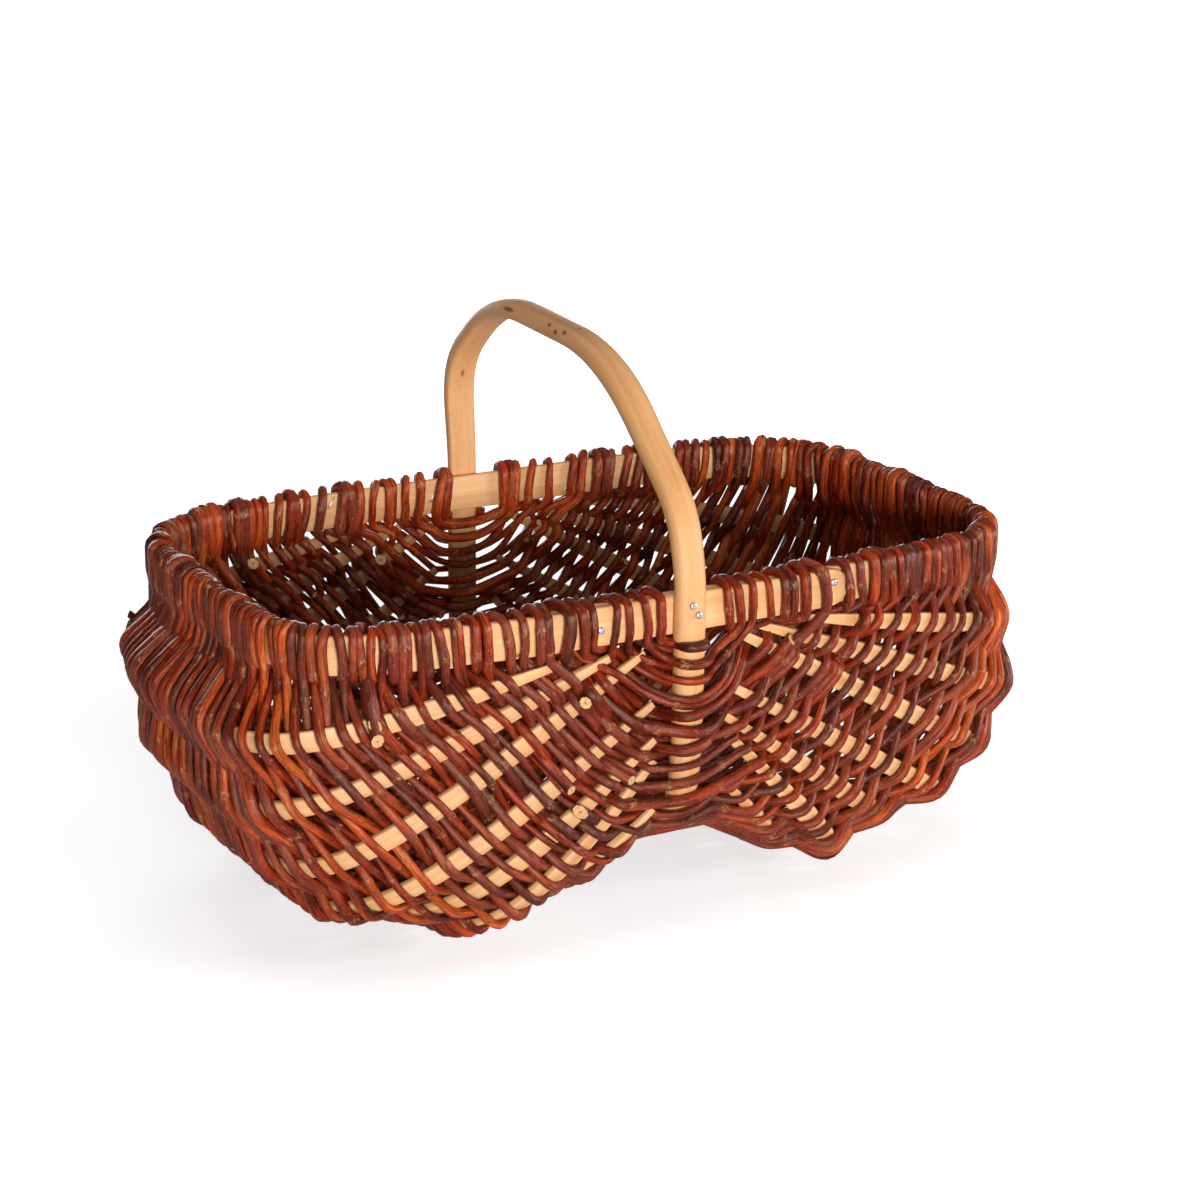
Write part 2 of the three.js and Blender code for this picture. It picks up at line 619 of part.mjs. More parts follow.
for (const { name, length, matrix } of nails) {
  basket.add(part(name, nail(length).applyMatrix4(matrix), STEEL));
}
for (const { name, matrix } of staples) {
  basket.add(part(name, staple().applyMatrix4(matrix), STEEL));
}

// Its box is centred over the origin
const { min: low, max: high } = new THREE.Box3().setFromObject(basket);
basket.position.set(-(low.x + high.x) / 2, -(low.y + high.y) / 2, 0);

export default basket;
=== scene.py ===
"""Looks of a willow gathering basket: a peeled wood frame, woven willow rods, nails and staples.

Lengths are millimetres in the rim's own frame, with x along, -y to the front and z up from its middle,
until a mesh is made, which turns them into metres in the part's frame.
"""
import math
from collections import namedtuple

import bpy
import numpy as np
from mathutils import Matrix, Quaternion, Vector


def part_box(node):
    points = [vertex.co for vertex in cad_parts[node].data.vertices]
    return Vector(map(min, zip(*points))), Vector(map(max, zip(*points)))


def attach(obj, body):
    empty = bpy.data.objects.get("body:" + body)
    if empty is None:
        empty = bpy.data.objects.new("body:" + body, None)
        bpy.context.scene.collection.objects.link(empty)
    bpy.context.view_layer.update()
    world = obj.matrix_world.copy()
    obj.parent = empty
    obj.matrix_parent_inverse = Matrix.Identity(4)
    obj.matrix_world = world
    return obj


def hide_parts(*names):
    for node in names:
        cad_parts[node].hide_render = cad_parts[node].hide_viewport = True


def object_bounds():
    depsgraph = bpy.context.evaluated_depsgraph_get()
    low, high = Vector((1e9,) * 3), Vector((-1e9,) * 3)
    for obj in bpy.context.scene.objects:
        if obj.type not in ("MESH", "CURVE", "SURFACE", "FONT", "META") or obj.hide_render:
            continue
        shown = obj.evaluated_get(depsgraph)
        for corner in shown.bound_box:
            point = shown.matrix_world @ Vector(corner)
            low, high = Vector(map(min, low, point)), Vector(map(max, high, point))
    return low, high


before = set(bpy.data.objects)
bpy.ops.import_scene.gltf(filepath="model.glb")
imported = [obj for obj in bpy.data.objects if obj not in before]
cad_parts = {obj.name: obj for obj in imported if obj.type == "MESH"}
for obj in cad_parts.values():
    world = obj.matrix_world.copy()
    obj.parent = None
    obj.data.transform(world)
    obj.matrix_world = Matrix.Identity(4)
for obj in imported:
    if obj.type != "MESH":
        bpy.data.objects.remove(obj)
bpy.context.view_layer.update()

MM = 0.001
QUARTER = math.pi / 2
SIDES = {"left": -1, "right": 1}
HALVES = ("front", "back")
UP = np.array([0.0, 0.0, 1.0])

# Sizes of the frame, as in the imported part
GAP = 0.3
RIM_STRIP_WIDTH = 21.0
RIM_STRIP_THICKNESS = 4.5
RIM_FRONT_SQUARENESS = 5.6
RIM_BACK_SQUARENESS = 4.4
LAP_LEFT = 90.0
LAP_RIGHT = 95.0
LAP_EASE = 50.0
LAP_STEP = RIM_STRIP_THICKNESS + GAP
HOOP_WIDTH = 17.5
HOOP_THICKNESS = 9.0
HOOP_ASIDE = -6.3
HOOP_TURN = math.radians(1.3)
KEEL_SQUARENESS = 6.5
KEEL_LIFT = 50.5
KEEL_EAR_ANGLE = math.radians(36)
RIB_WIDTH = 11.0
RIB_THICKNESS = 4.5
RIB_TIP_WIDTH = 4.0
RIB_TAPER = 80.0
RIB_BULGE = 6.0
WEAVER_DIAMETER = 5.0
TIP_CLEARANCE = 2.5
EAR_ROOM = HOOP_WIDTH / 2 + GAP + WEAVER_DIAMETER + TIP_CLEARANCE

RibShape = namedtuple("RibShape", "reach ear drop bulge front back")
RIB_FAN = (
    RibShape(1.095, 0.009, 0.259, 0.9, 5.4, 3.4),
    RibShape(1.069, 0.0, 0.486, 0.42, 5.2, 3.0),
    RibShape(0.981, 0.016, 0.701, 0.25, 5.0, 3.0),
    RibShape(0.873, 0.188, 0.854, 0.42, 4.8, 3.1),
    RibShape(0.698, 0.279, 0.911, 0.83, 4.4, 3.3),
    RibShape(0.546, 0.301, 1.0, 0.83, 4.1, 3.5),
    RibShape(0.408, 0.465, 0.968, 1.0, 2.6, 3.7),
)
RIGHT_RIBS = {
    1: {"reach": 1.043},
    2: {"reach": 1.078, "drop": 0.515},
    3: {"reach": 1.02, "drop": 0.735},
    4: {"reach": 0.886, "drop": 0.862},
}
KEEL = len(RIB_FAN) + 1

# Bends of the handle: distance across from the middle, rise over the rim and length of the bend
HandleBend = namedtuple("HandleBend", "across rise bend")
FOOT_BEND = 10.0
FRONT_KNEE = HandleBend(-132.0, 55.0, 26.0)
FRONT_SHOULDER = HandleBend(-51.0, 123.0, 44.0)
BACK_SHOULDER = HandleBend(84.0, 128.5, 42.0)
BACK_KNEE = HandleBend(144.5, 79.0, 32.0)

# Places of the frame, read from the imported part
rim_low, rim_high = (np.array(corner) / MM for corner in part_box("rim_hoop"))
hoop_low = np.array(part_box("handle_hoop")[0]) / MM
RIM_HEIGHT = (rim_low[2] + rim_high[2]) / 2
HALF_LENGTH = (rim_high[0] - rim_low[0] - RIM_STRIP_THICKNESS) / 2
HALF_WIDTH = (rim_high[1] - rim_low[1] - LAP_STEP - RIM_STRIP_THICKNESS) / 2
RIM_CENTRE = np.array([
    (rim_low[0] + rim_high[0]) / 2,
    rim_high[1] - RIM_STRIP_THICKNESS / 2 - HALF_WIDTH,
    RIM_HEIGHT,
])
KEEL_DEPTH = RIM_HEIGHT - hoop_low[2] - HOOP_THICKNESS / 2
BODY_DEPTH = KEEL_DEPTH + KEEL_LIFT
TURN_ROOM = HOOP_WIDTH / 2 * math.tan(HOOP_TURN)
HOOP_BACK = HALF_WIDTH + RIM_STRIP_THICKNESS / 2 + GAP + TURN_ROOM + HOOP_THICKNESS / 2
HOOP_FRONT = HOOP_BACK + LAP_STEP
NAILS = [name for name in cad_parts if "_nail_" in name]
STAPLES = [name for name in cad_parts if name.startswith("rim_staple")]
LAP_NAILS = [name for name in NAILS if name.startswith("lap")]
NAIL_CLEAR = 7.5
STAPLE_CLEAR = 5.0


def middle_of(name):
    """Place of a node's middle along the rim."""
    return sum(corner[0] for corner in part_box(name)) / 2 / MM - RIM_CENTRE[0]


# Places along the rim that the wraps leave bare, each with the half of its length
BARE_RIM = {
    "front": [(middle_of(name), NAIL_CLEAR) for name in LAP_NAILS],
    "back": [(middle_of(name), STAPLE_CLEAR) for name in STAPLES],
}
EAR_X = {
    "front": HOOP_ASIDE - HOOP_FRONT * math.sin(HOOP_TURN),
    "back": HOOP_ASIDE + HOOP_BACK * math.sin(HOOP_TURN),
}

# Rows of the weave: each goes from rim to rim under the body, in circles round the ears that open out
ROW_FIRST = 15.0
ROW_PITCH = {"front": 4.7, "back": 4.4}
ROW_SPREAD = (0.5, 1.0, 2.0, 3.0, 3.0, 2.5, 2.0, 1.5, 1.0)
TIP_ROOM = 3.0
TIP_SHOWN = {1: 26.0, 2: 22.0, 3: 18.0, 4: 14.0}
EAR_ARC_STEP = math.radians(35)
CROSSING_REACH = 0.6
NEAR_EAR = 50.0

# Pairs of rows that pack the gaps where the rows open out, on the rim and on each rib
LINE_PITCH = {
    "front": (4.5, 4.7, 5.2, 5.5, 5.7, 5.5, 5.1, 4.9),
    "back": (4.2, 4.2, 4.5, 4.7, 5.0, 4.9, 4.7, 4.6),
}
LINE_OPEN = {("front", 1): 1.1}
PACK_NEED = 2.0
PACK_REACH_NEED = 1.2
PACK_LEAST_NEED = -0.5
PACK_LEAST_TURN = 2
PACK_LAST_TURN = 6
PACK_THICKER = 0.3
PACK_TAPER = 0.2
PACK_CONTROLS = 300
EVEN_REACH = 4

# Wraps round the rim: open near the ears and close together past a distance from the ear
WRAP_SPARSE = {("front", -1): 138.0, ("front", 1): 108.0, ("back", -1): 135.0, ("back", 1): 140.0}
WRAP_PITCH = {"front": 8.8, "back": 7.9}
WRAP_PITCH_FULL = 5.0
WRAP_SQUARENESS = 4.5

# Rods: radius at both ends, length, how they overlap where one follows another, and how loosely they lie
ROD_RADIUS = 2.55
ROD_BUTT = {"front": (2.6, 3.55), "back": (2.8, 3.9)}
ROD_TIP = (1.8, 2.3)
ROD_LENGTH = (1050.0, 1650.0)
ROD_LEAD = 14
ROD_FADE = 5
LEAD_ASIDE = 0.85
OUTSIDE_ENDS = 0.08
END_REACH = (4.0, 11.0)
END_LEAN = (1.0, 3.0)
ROD_OVER = 1.06
ROD_UNDER = 1.03
LOOSE_ROWS = 0.9
LOOSE_WRAPS = 2.3
LOOSE_OUT = 0.35

# Thick cut ends that show at the front left: rib, distance from the ear, way to the next rib, and radius
Butt = namedtuple("Butt", "line distance way radius")
BUTTS = (
    Butt(1, 191.0, -1, 3.7),
    Butt(1, 189.0, 1, 3.3),
    Butt(4, 95.0, -1, 3.1),
    Butt(5, 87.0, 1, 3.4),
    Butt(5, 58.0, -1, 2.8),
)
BUTT_LIFT = 1.8
BUTT_REACH = 2.5
BUTT_FACE = 1.6

# Meshes of the rods
ROD_SIDES = 8
ROD_STEP = 4.0
ROD_BEND_STEP = math.radians(24)
ROD_WAVER = 0.05
CUT_SLANT = 0.6
BUD_SPACING = (26.0, 78.0)
BUD_LENGTH = 3.0
BUD_SWELLING = 0.13
GRAIN_START = 1000
PIECES_PER_HALF = 4
WEAVE_SEEDS = {"front": 11, "back": 23}
RIB_SEED = 3
HANDLE_SEED = 5


def unit(vectors):
    return vectors / np.linalg.norm(vectors, axis=-1, keepdims=True)


def along_path(points):
    """Distance of each point from the first, along the path."""
    return np.concatenate([[0], np.cumsum(np.linalg.norm(np.diff(points, axis=0), axis=1))])


def superellipse(angle, front, back=None):
    """Across and along of a unit superellipse at an angle from the front ear, 0, to the back one, pi."""
    cos, sin = np.cos(angle), np.sin(angle)
    power = np.where(cos > 0, front, front if back is None else back)
    radius = (np.abs(cos) ** power + np.abs(sin) ** power) ** (-1 / power)
    return radius * cos, radius * sin


def hoop_points(across, rise):
    """Points of the hoop's plane, which stands a little aside and turned."""
    x = HOOP_ASIDE + across * math.sin(HOOP_TURN)
    return np.stack([x, across * math.cos(HOOP_TURN), rise], -1)


def keel_points(angle):
    """Points of the keel, the hoop's part below the rim."""
    across, along = superellipse(angle, KEEL_SQUARENESS)
    return hoop_points(-np.where(across > 0, HOOP_FRONT, HOOP_BACK) * across, -KEEL_DEPTH * along)


def rim_points(angle):
    """Points of the rim's middle line and its outward normals, with positive angles on the right."""
    across, along = superellipse(angle, RIM_FRONT_SQUARENESS, RIM_BACK_SQUARENESS)
    squareness = np.where(across > 0, RIM_FRONT_SQUARENESS, RIM_BACK_SQUARENESS)
    points = np.stack([HALF_LENGTH * along, -HALF_WIDTH * across, 0 * along], -1)
    slopes = [np.sign(share) * np.abs(share) ** (squareness - 1) for share in (along, across)]
    normals = unit(np.stack([slopes[0] / HALF_LENGTH, -slopes[1] / HALF_WIDTH, 0 * along], -1))
    return points, normals


def rib_shape(line, sign):
    """Shape of a rib, as some ribs reach and drop a little differently on the right."""
    return RIB_FAN[line - 1]._replace(**(RIGHT_RIBS.get(line, {}) if sign > 0 else {}))


def line_points(line, sign, angle):
    """Points of a line of the frame: the rim is 0, then the ribs. The keel's angles draw to its middle."""
    if line == 0:
        return rim_points(sign * angle)[0]
    if line == KEEL:
        return keel_points(QUARTER + (angle - QUARTER) * (1 - KEEL_EAR_ANGLE / QUARTER))
    rib = rib_shape(line, sign)
    across, along = superellipse(angle, rib.front, rib.back)
    x = sign * rib.reach * HALF_LENGTH * along
    y = -(HALF_WIDTH + rib.bulge * RIB_BULGE) * across
    z = -(rib.ear + (rib.drop - rib.ear) * along) * BODY_DEPTH
    return np.stack([x, y, z], -1)


class Line:
    """A line of the frame on one side, from the front ear to the back one, with its axes."""

    SAMPLES = 721

    def __init__(self, line, sign):
        self.line, self.sign = line, sign
        self.angle = np.linspace(0, math.pi, self.SAMPLES)
        self.points = keel_points(self.angle) if line == KEEL else line_points(line, sign, self.angle)
        self.tangents = unit(np.gradient(self.points, axis=0))
        normals = unit(np.cross(self.tangents, self.onward()))
        self.normals = normals * np.sign((normals * self.points).sum(1, keepdims=True))
        self.distances = along_path(self.points)
        self.total = self.distances[-1]
        middle = np.interp(QUARTER, self.angle, self.distances)
        self.half = {"front": middle, "back": self.total - middle}
        self.ear, self.slope = 0.0, 0.0
        if 0 < line < KEEL:
            rib = rib_shape(line, sign)
            self.ear = rib.ear * BODY_DEPTH
            self.slope = math.atan2((rib.drop - rib.ear) * BODY_DEPTH, rib.reach * HALF_LENGTH)
        self.tips = {half: self.tip(half) for half in HALVES} if 0 < line < KEEL else {}

    def onward(self):
        """Directions from each point to the next line."""
        if self.line == 0:
            return np.tile(-UP, (self.SAMPLES, 1))
        if self.line < KEEL:
            before, after = (line_points(self.line + step, self.sign, self.angle) for step in (-1, 1))
            return after - before
        way = [-self.sign * math.cos(HOOP_TURN), self.sign * math.sin(HOOP_TURN), 0.0]
        return np.tile(way, (self.SAMPLES, 1))

    def at(self, half, distance):
        """Point, outward normal and way from the ear, at a distance from the ear of one half."""
        along = distance if half == "front" else self.total - distance
        sample = np.interp(along, self.distances, np.arange(self.SAMPLES))
        low = min(int(sample), self.SAMPLES - 2)
        share = sample - low
        rows = (self.points, self.normals, self.tangents)
        point, normal, tangent = (row[low] * (1 - share) + row[low + 1] * share for row in rows)
        return point, unit(normal), unit(tangent if half == "front" else -tangent)

    def tip(self, half):
        """Distance from the ear at which the rib's tip lies clear of the rim and of the hoop."""
        reach = rib_shape(self.line, self.sign).reach * HALF_LENGTH
        clear = RIM_STRIP_WIDTH / 2 + RIB_TIP_WIDTH / 2 + TIP_CLEARANCE
        start = max(EAR_ROOM, (clear - self.ear) / math.tan(self.slope))
        angle = math.atan((start + max(0.0, self.sign * EAR_X[half])) / reach)
        distance = np.interp(angle if half == "front" else math.pi - angle, self.angle, self.distances)
        return distance if half == "front" else self.total - distance

    def half_width(self, half, distance):
        """Half of the rib's width, which tapers to its tip."""
        share = min(max((distance - self.tips[half]) / RIB_TAPER, 0), 1)
        return (RIB_TIP_WIDTH + (RIB_WIDTH - RIB_TIP_WIDTH) * share) / 2


LINES = {(line, sign): Line(line, sign) for line in range(KEEL + 1) for sign in SIDES.values()}


def row_distance(line, sign, half, share):
    """How far from the ear a row crosses a line, or None where the line starts further out."""
    keel_half = LINES[KEEL, sign].half[half]
    radius = keel_half * share
    if line == KEEL:
        return radius
    row = LINES[line, sign]
    ear, slope, length = row.ear, row.slope, row.half[half]
    widest = math.hypot(ear + length * math.sin(slope), length * math.cos(slope))
    radius *= 1 + (widest / keel_half - 1) * share ** ROW_SPREAD[line]
    if radius <= ear:
        return None
    distance = math.sqrt(radius ** 2 - (ear * math.cos(slope)) ** 2) - ear * math.sin(slope)
    distance += sign * EAR_X[half] * (1 - share)
    if line and distance < row.tips[half] + TIP_ROOM:
        return None
    return min(distance, length)


Crossing = namedtuple("Crossing", "point normal slide half_width clear side")


def crossing(plan, line, sign, share, parity):
    """Where a row crosses a line, and on which side. Near the front ear, the rib tips show outside."""
    half = plan.half
    distance = plan.places.get((line, sign, share))
    if distance is None:
        return None
    row = LINES[line, sign]
    point, normal, slide = row.at(half, distance)
    side = 1 if (line + parity) % 2 == 0 else -1
    if line == KEEL:
        return Crossing(point, normal, slide, HOOP_WIDTH / 2, HOOP_THICKNESS / 2, side)
    if line == 0:
        edge = point - UP * RIM_STRIP_WIDTH / 2
        return Crossing(edge, normal, slide, 0.0, RIM_STRIP_THICKNESS / 2, side)
    if half == "front" and distance < row.tips[half] + TIP_SHOWN.get(line, 0.0):
        side = -1
    return Crossing(point, normal, slide, row.half_width(half, distance), RIB_THICKNESS / 2, side)


def ear_arc(a, b, half, sign):
    """Points on the way round the ear between two far crossings, on a circle in the ear's plane."""
    centre = np.array([EAR_X[half], 0.0, 0.0])
    flat = np.array([1.0, 0.0, 1.0])
    start, end = (a.point - centre) * flat, (b.point - centre) * flat
    angles = [math.atan2(-p[2], sign * p[0]) for p in (start, end)]
    sweep = angles[1] - angles[0]
    count = int(abs(sweep) / EAR_ARC_STEP)
    found = []
    for i in range(1, count + 1):
        share = i / (count + 1)
        angle = angles[0] + sweep * share
        radius = np.linalg.norm(start) * (1 - share) + np.linalg.norm(end) * share
        depth = a.point[1] * (1 - share) + b.point[1] * share
        along, drop = sign * radius * math.cos(angle), radius * math.sin(angle)
        point = np.array([EAR_X[half] + along, depth, -drop])
        side = a.side if share < 0.5 else b.side
        found.append(Crossing(point, unit(a.normal + b.normal), a.slide, 0.0, 1.0, side))
    return found


def side_crossings(plan, sign, share, parity, last=KEEL):
    """Crossings of a row on one side, from the rim to a line, with arcs where it passes no rib."""
    found = [crossing(plan, line, sign, share, parity) for line in range(last + 1)]
    found = [one for one in found if one]
    whole = [found[0]]
    for one in found[1:]:
        whole += ear_arc(whole[-1], one, plan.half, sign)
        whole.append(one)
    return whole


def lap_step(x):
    """How far the rim's outer layer stands out at the front."""
    if x > LAP_RIGHT:
        return 0.0
    return LAP_STEP * min(max((x + LAP_LEFT + LAP_EASE) / LAP_EASE, 0), 1)


def wrap_shift(sign, half, distance):
    """How far a wrap at a distance from the ear is moved aside, so that the rim's bare places show."""
    gaps = [(distance - sign * place, clear) for place, clear in BARE_RIM[half]]
    return sum(math.copysign(math.hypot(gap, clear), gap) - gap for gap, clear in gaps)


class Route:
    """Control points of a weaver, each with the ways to slide and out, its side and if it is at a rib."""

    RIM_TURN = math.radians(284)
    RIM_TURN_START = math.radians(-52)
    RIM_TURN_STEP = math.radians(31)

    def __init__(self, radii=None):
        self.points, self.slides, self.outs, self.sides, self.at_rib = [], [], [], [], []
        self.radii = radii

    def radius(self):
        """Radius of the rod at the next control."""
        return ROD_RADIUS if self.radii is None else self.radii[len(self.points)]

    def add(self, point, slide, out, side, at_rib):
        self.points.append(point)
        self.slides.append(slide)
        self.outs.append(out)
        self.sides.append(side)
        self.at_rib.append(at_rib)

    def lay(self, crossings, before, after):
        """Pass over or under a run of crossings, with the neighbours of its two ends."""
        run = [before, *crossings, after]
        for previous, here, following in zip(run, run[1:], run[2:]):
            ahead = following.point - previous.point
            ahead = unit(ahead - here.normal * (ahead @ here.normal))
            reach = CROSSING_REACH * here.half_width
            for share in ((-1, 1) if reach else (0,)):
                out = here.side * (here.clear + self.radius())
                point = here.point + here.normal * out + ahead * reach * share
                self.add(point, here.slide, here.normal, here.side, bool(reach))

    def turn_at_rim(self, sign, half, start, pitch, parity, extra=0):
        """Wind round the rim from a row's end to the next row's start, with extra turns between them."""
        total = self.RIM_TURN + 2 * math.pi * extra
        count = int(round(total / self.RIM_TURN_STEP))
        for i in range(count + 1):
            swept = total * i / count
            low = self.RIM_TURN_START
            angle = low + swept if parity % 2 == 0 else math.pi - low - swept
            turn = min(int(swept / (2 * math.pi)), extra)
            aside = wrap_shift(sign, half, start + pitch * (turn + 0.5))
            point, normal, slide = LINES[0, sign].at(half, start + pitch * swept / (2 * math.pi) + aside)
            radius = self.radius()
            across, along = superellipse(angle, WRAP_SQUARENESS)
            lap = lap_step(point[0]) if half == "front" and across > 0 else 0.0
            out = across * (RIM_STRIP_THICKNESS / 2 + radius + lap)
            rise = along * (RIM_STRIP_WIDTH / 2 + radius)
            away = unit(normal * across + UP * along)
            self.add(point + normal * out + UP * rise, slide, away, 1 if across > 0 else -1, False)

    def turn_at_rib(self, plan, line, sign, shares, parity):
        """Go round a rib's far edge, from one row to the next."""
        first, second = (crossing(plan, line, sign, share, parity + i) for i, share in enumerate(shares))
        onward = unit(np.cross(first.slide, first.normal))
        if onward @ (LINES[0, sign].at(plan.half, NEAR_EAR)[0] - first.point) > 0:
            onward = -onward
        for one, way in ((first, 1), (second, -1)):
            for reach in (-CROSSING_REACH, CROSSING_REACH):
                out = one.side * (one.clear + self.radius())
                point = one.point + one.normal * out + onward * way * reach * one.half_width
                self.add(point, one.slide, one.normal, one.side, False)
            if one is first:
                middle = (first.point + second.point) / 2
                point = middle + onward * (first.half_width + self.radius())
                self.add(point, first.slide, first.normal, 0, False)


def evened(values):
    """Sorted values, each moved to the mean of its neighbours, as rods that are pushed together."""
    last = len(values) - 1
    spans = [min(EVEN_REACH, i, last - i) for i in range(last + 1)]
    return [float(np.mean(values[i - span:i + span + 1])) for i, span in enumerate(spans)]


class Plan:
    """Where the rows of one half cross each line, with short packing pairs in the gaps that get wide."""

    def __init__(self, half):
        self.half = half
        keel_half = LINES[KEEL, 1].half[half]
        count = int(round((keel_half - ROW_FIRST) / ROW_PITCH[half]))
        pitch = (keel_half - ROW_FIRST) / (count - 0.5)
        self.rows = [(ROW_FIRST + i * pitch) / keel_half for i in range(count)]
        self.pairs, self.places = {}, {}
        for sign in SIDES.values():
            self.pack(sign)
            self.spread(sign)

    def pack(self, sign):
        """Choose the gaps that get a pair, and the rib at which each pair turns back."""
        need = np.zeros(KEEL)
        for k, gap in enumerate(zip(self.rows, self.rows[1:])):
            for line in range(KEEL):
                here, there = (row_distance(line, sign, self.half, share) for share in gap)
                if here is not None:
                    pitch = LINE_PITCH[self.half][line] * LINE_OPEN.get((self.half, sign), 1.0)
                    need[line] = max(need[line] + (there - here) / pitch - 1, PACK_LEAST_NEED)
            turn = 1 if need[1] >= PACK_NEED else 0
            while 0 < turn < PACK_LAST_TURN and need[turn + 1] >= PACK_REACH_NEED:
                turn += 1
            if turn >= PACK_LEAST_TURN:
                thirds = [gap[0] + (gap[1] - gap[0]) * part for part in (1 / 3, 2 / 3)]
                self.pairs[k, sign] = turn, thirds
                need[:turn + 1] -= 2

    def spread(self, sign):
        """Space the rows and pairs more evenly on each line."""
        passes = [(share, KEEL) for share in self.rows]
        for (k, side), (_, thirds) in self.pairs.items():
            if side == sign:
                passes += [(share, self.last_line(k, sign, i)) for i, share in enumerate(thirds)]
        for line in range(KEEL + 1):
            shares = sorted(share for share, last in passes if last >= line)
            found = {share: row_distance(line, sign, self.half, share) for share in shares}
            found = {share: distance for share, distance in found.items() if distance is not None}
            for share, distance in zip(found, evened(list(found.values()))):
                self.places[line, sign, share] = distance

    def last_line(self, k, sign, i):
        """Line at which one rod of a pair ends: a short rod goes on to where it is inside the basket."""
        turn = self.pairs[k, sign][0]
        turns_here = sign == (-1 if k % 2 == 0 else 1)
        outside = (turn + k + 1 + i) % 2 == 0
        return turn + 1 if outside and not turns_here and turn + 1 < KEEL else turn

    def wind(self, route, sign, share, ahead, parity):
        """Wind a route round the rim from one row to the next, with extra turns where there is room."""
        here, there = (self.places[0, sign, one] for one in (share, ahead))
        span = 2 * (there - here)
        sparse = here < WRAP_SPARSE[self.half, sign]
        wanted = WRAP_PITCH[self.half] if sparse else WRAP_PITCH_FULL
        extra = max(0, round((here + span) / wanted) - round(here / wanted) - 1)
        route.turn_at_rim(sign, self.half, here, span / (1 + extra), parity, extra)

    def wind_to_middle(self, route, sign, share, parity):
        """Wind a route on round the rim from its last row to where the two halves meet."""
        here = self.places[0, sign, share]
        room = LINES[0, sign].half[self.half] - here
        extra = max(0, round(room / WRAP_PITCH_FULL) - 1)
        route.turn_at_rim(sign, self.half, here, room / (1 + extra), parity, extra)


def long_weaver(plan, radii=None):
    """Route of the long weaver of one half, row after row, with packing pairs at its turns."""
    route = Route(radii)
    for k, share in enumerate(plan.rows):
        signs = (1, -1) if k % 2 == 0 else (-1, 1)
        outgoing = side_crossings(plan, signs[0], share, k)
        incoming = side_crossings(plan, signs[1], share, k)[::-1]
        run = outgoing + incoming[1:]
        route.lay(run[1:-1], run[0], run[-1])
        if k + 1 == len(plan.rows):
            plan.wind_to_middle(route, signs[1], share, k)
            break
        sign, ahead = signs[1], plan.rows[k + 1]
        if (k, sign) not in plan.pairs:
            plan.wind(route, sign, share, ahead, k)
            continue
        turn, thirds = plan.pairs[k, sign]
        plan.wind(route, sign, share, thirds[0], k)
        inward = side_crossings(plan, sign, thirds[0], k + 1, turn)
        outward = side_crossings(plan, sign, thirds[1], k + 2, turn)[::-1]
        route.lay(inward[1:-1], inward[0], inward[-1])
        route.turn_at_rib(plan, turn, sign, thirds, k + 1)
        route.lay(outward[1:-1], outward[0], outward[-1])
        plan.wind(route, sign, thirds[1], ahead, k + 2)
    return route


def packing_weavers(plan, rng):
    """Routes and radii of the short rods that pack the gaps where the long weaver doesn't turn."""
    for (k, sign), (_, thirds) in plan.pairs.items():
        if sign == (-1 if k % 2 == 0 else 1):
            continue
        radius = rng.uniform(*ROD_TIP) + PACK_THICKER
        route = Route(np.full(PACK_CONTROLS, radius))
        outward = side_crossings(plan, sign, thirds[0], k + 1, plan.last_line(k, sign, 0))[::-1]
        inward = side_crossings(plan, sign, thirds[1], k + 2, plan.last_line(k, sign, 1))
        outward = [outward[0], *outward]
        inward = [*inward, inward[-1]]
        route.lay(outward[1:-1], outward[0], outward[-1])
        plan.wind(route, sign, thirds[0], thirds[1], k + 1)
        route.lay(inward[1:-1], inward[0], inward[-1])
        yield route, radius


def smooth_noise(count, reach, rng):
    """Random values that change slowly from one to the next, about 1 at most."""
    kernel = np.hanning(2 * reach + 3)
    noise = np.convolve(rng.normal(size=count + len(kernel) - 1), kernel, mode="valid")
    return np.clip(noise / math.sqrt((kernel ** 2).sum()), -2, 2) / 2


def rod_cuts(route, rng):
    """Controls at which the long weaver is cut into rods, most of them inside the basket."""
    along = along_path(np.array(route.points))
    at_rib, sides = np.array(route.at_rib), np.array(route.sides)
    cuts = [0]
    while True:
        wanted = along[cuts[-1]] + rng.uniform(*ROD_LENGTH)
        if wanted > along[-1] - ROD_LENGTH[0] / 2:
            return cuts + [len(along) - 1]
        side = 1 if rng.random() < OUTSIDE_ENDS else -1
        places = np.nonzero(at_rib & (sides == side))[0]
        cuts.append(int(places[np.argmin(np.abs(along[places] - wanted))]))


def rod_radii(route, cuts, half, rng):
    """Radius at each control: every rod tapers from its butt to its tip, and like ends meet."""
    along = along_path(np.array(route.points))
    radii = np.empty(len(along))
    for i, (start, end) in enumerate(zip(cuts, cuts[1:])):
        ends = [rng.uniform(*ROD_BUTT[half]), rng.uniform(*ROD_TIP)]
        if i % 2:
            ends.reverse()
        radii[start:end + 1] = np.interp(along[start:end + 1], along[[start, end]], ends)
    return radii


def loosened(route, rng):
    """Control points of a route moved a little, as no rod lies quite where the pattern puts it."""
    points, slides, outs = (np.array(part) for part in (route.points, route.slides, route.outs))
    sway = smooth_noise(len(points), 2, rng) * np.where(route.at_rib, LOOSE_ROWS, LOOSE_WRAPS)
    swell = smooth_noise(len(points), 2, rng) * LOOSE_OUT
    return points + slides * sway[:, None] + outs * swell[:, None]


Rod = namedtuple("Rod", "path radii faces")


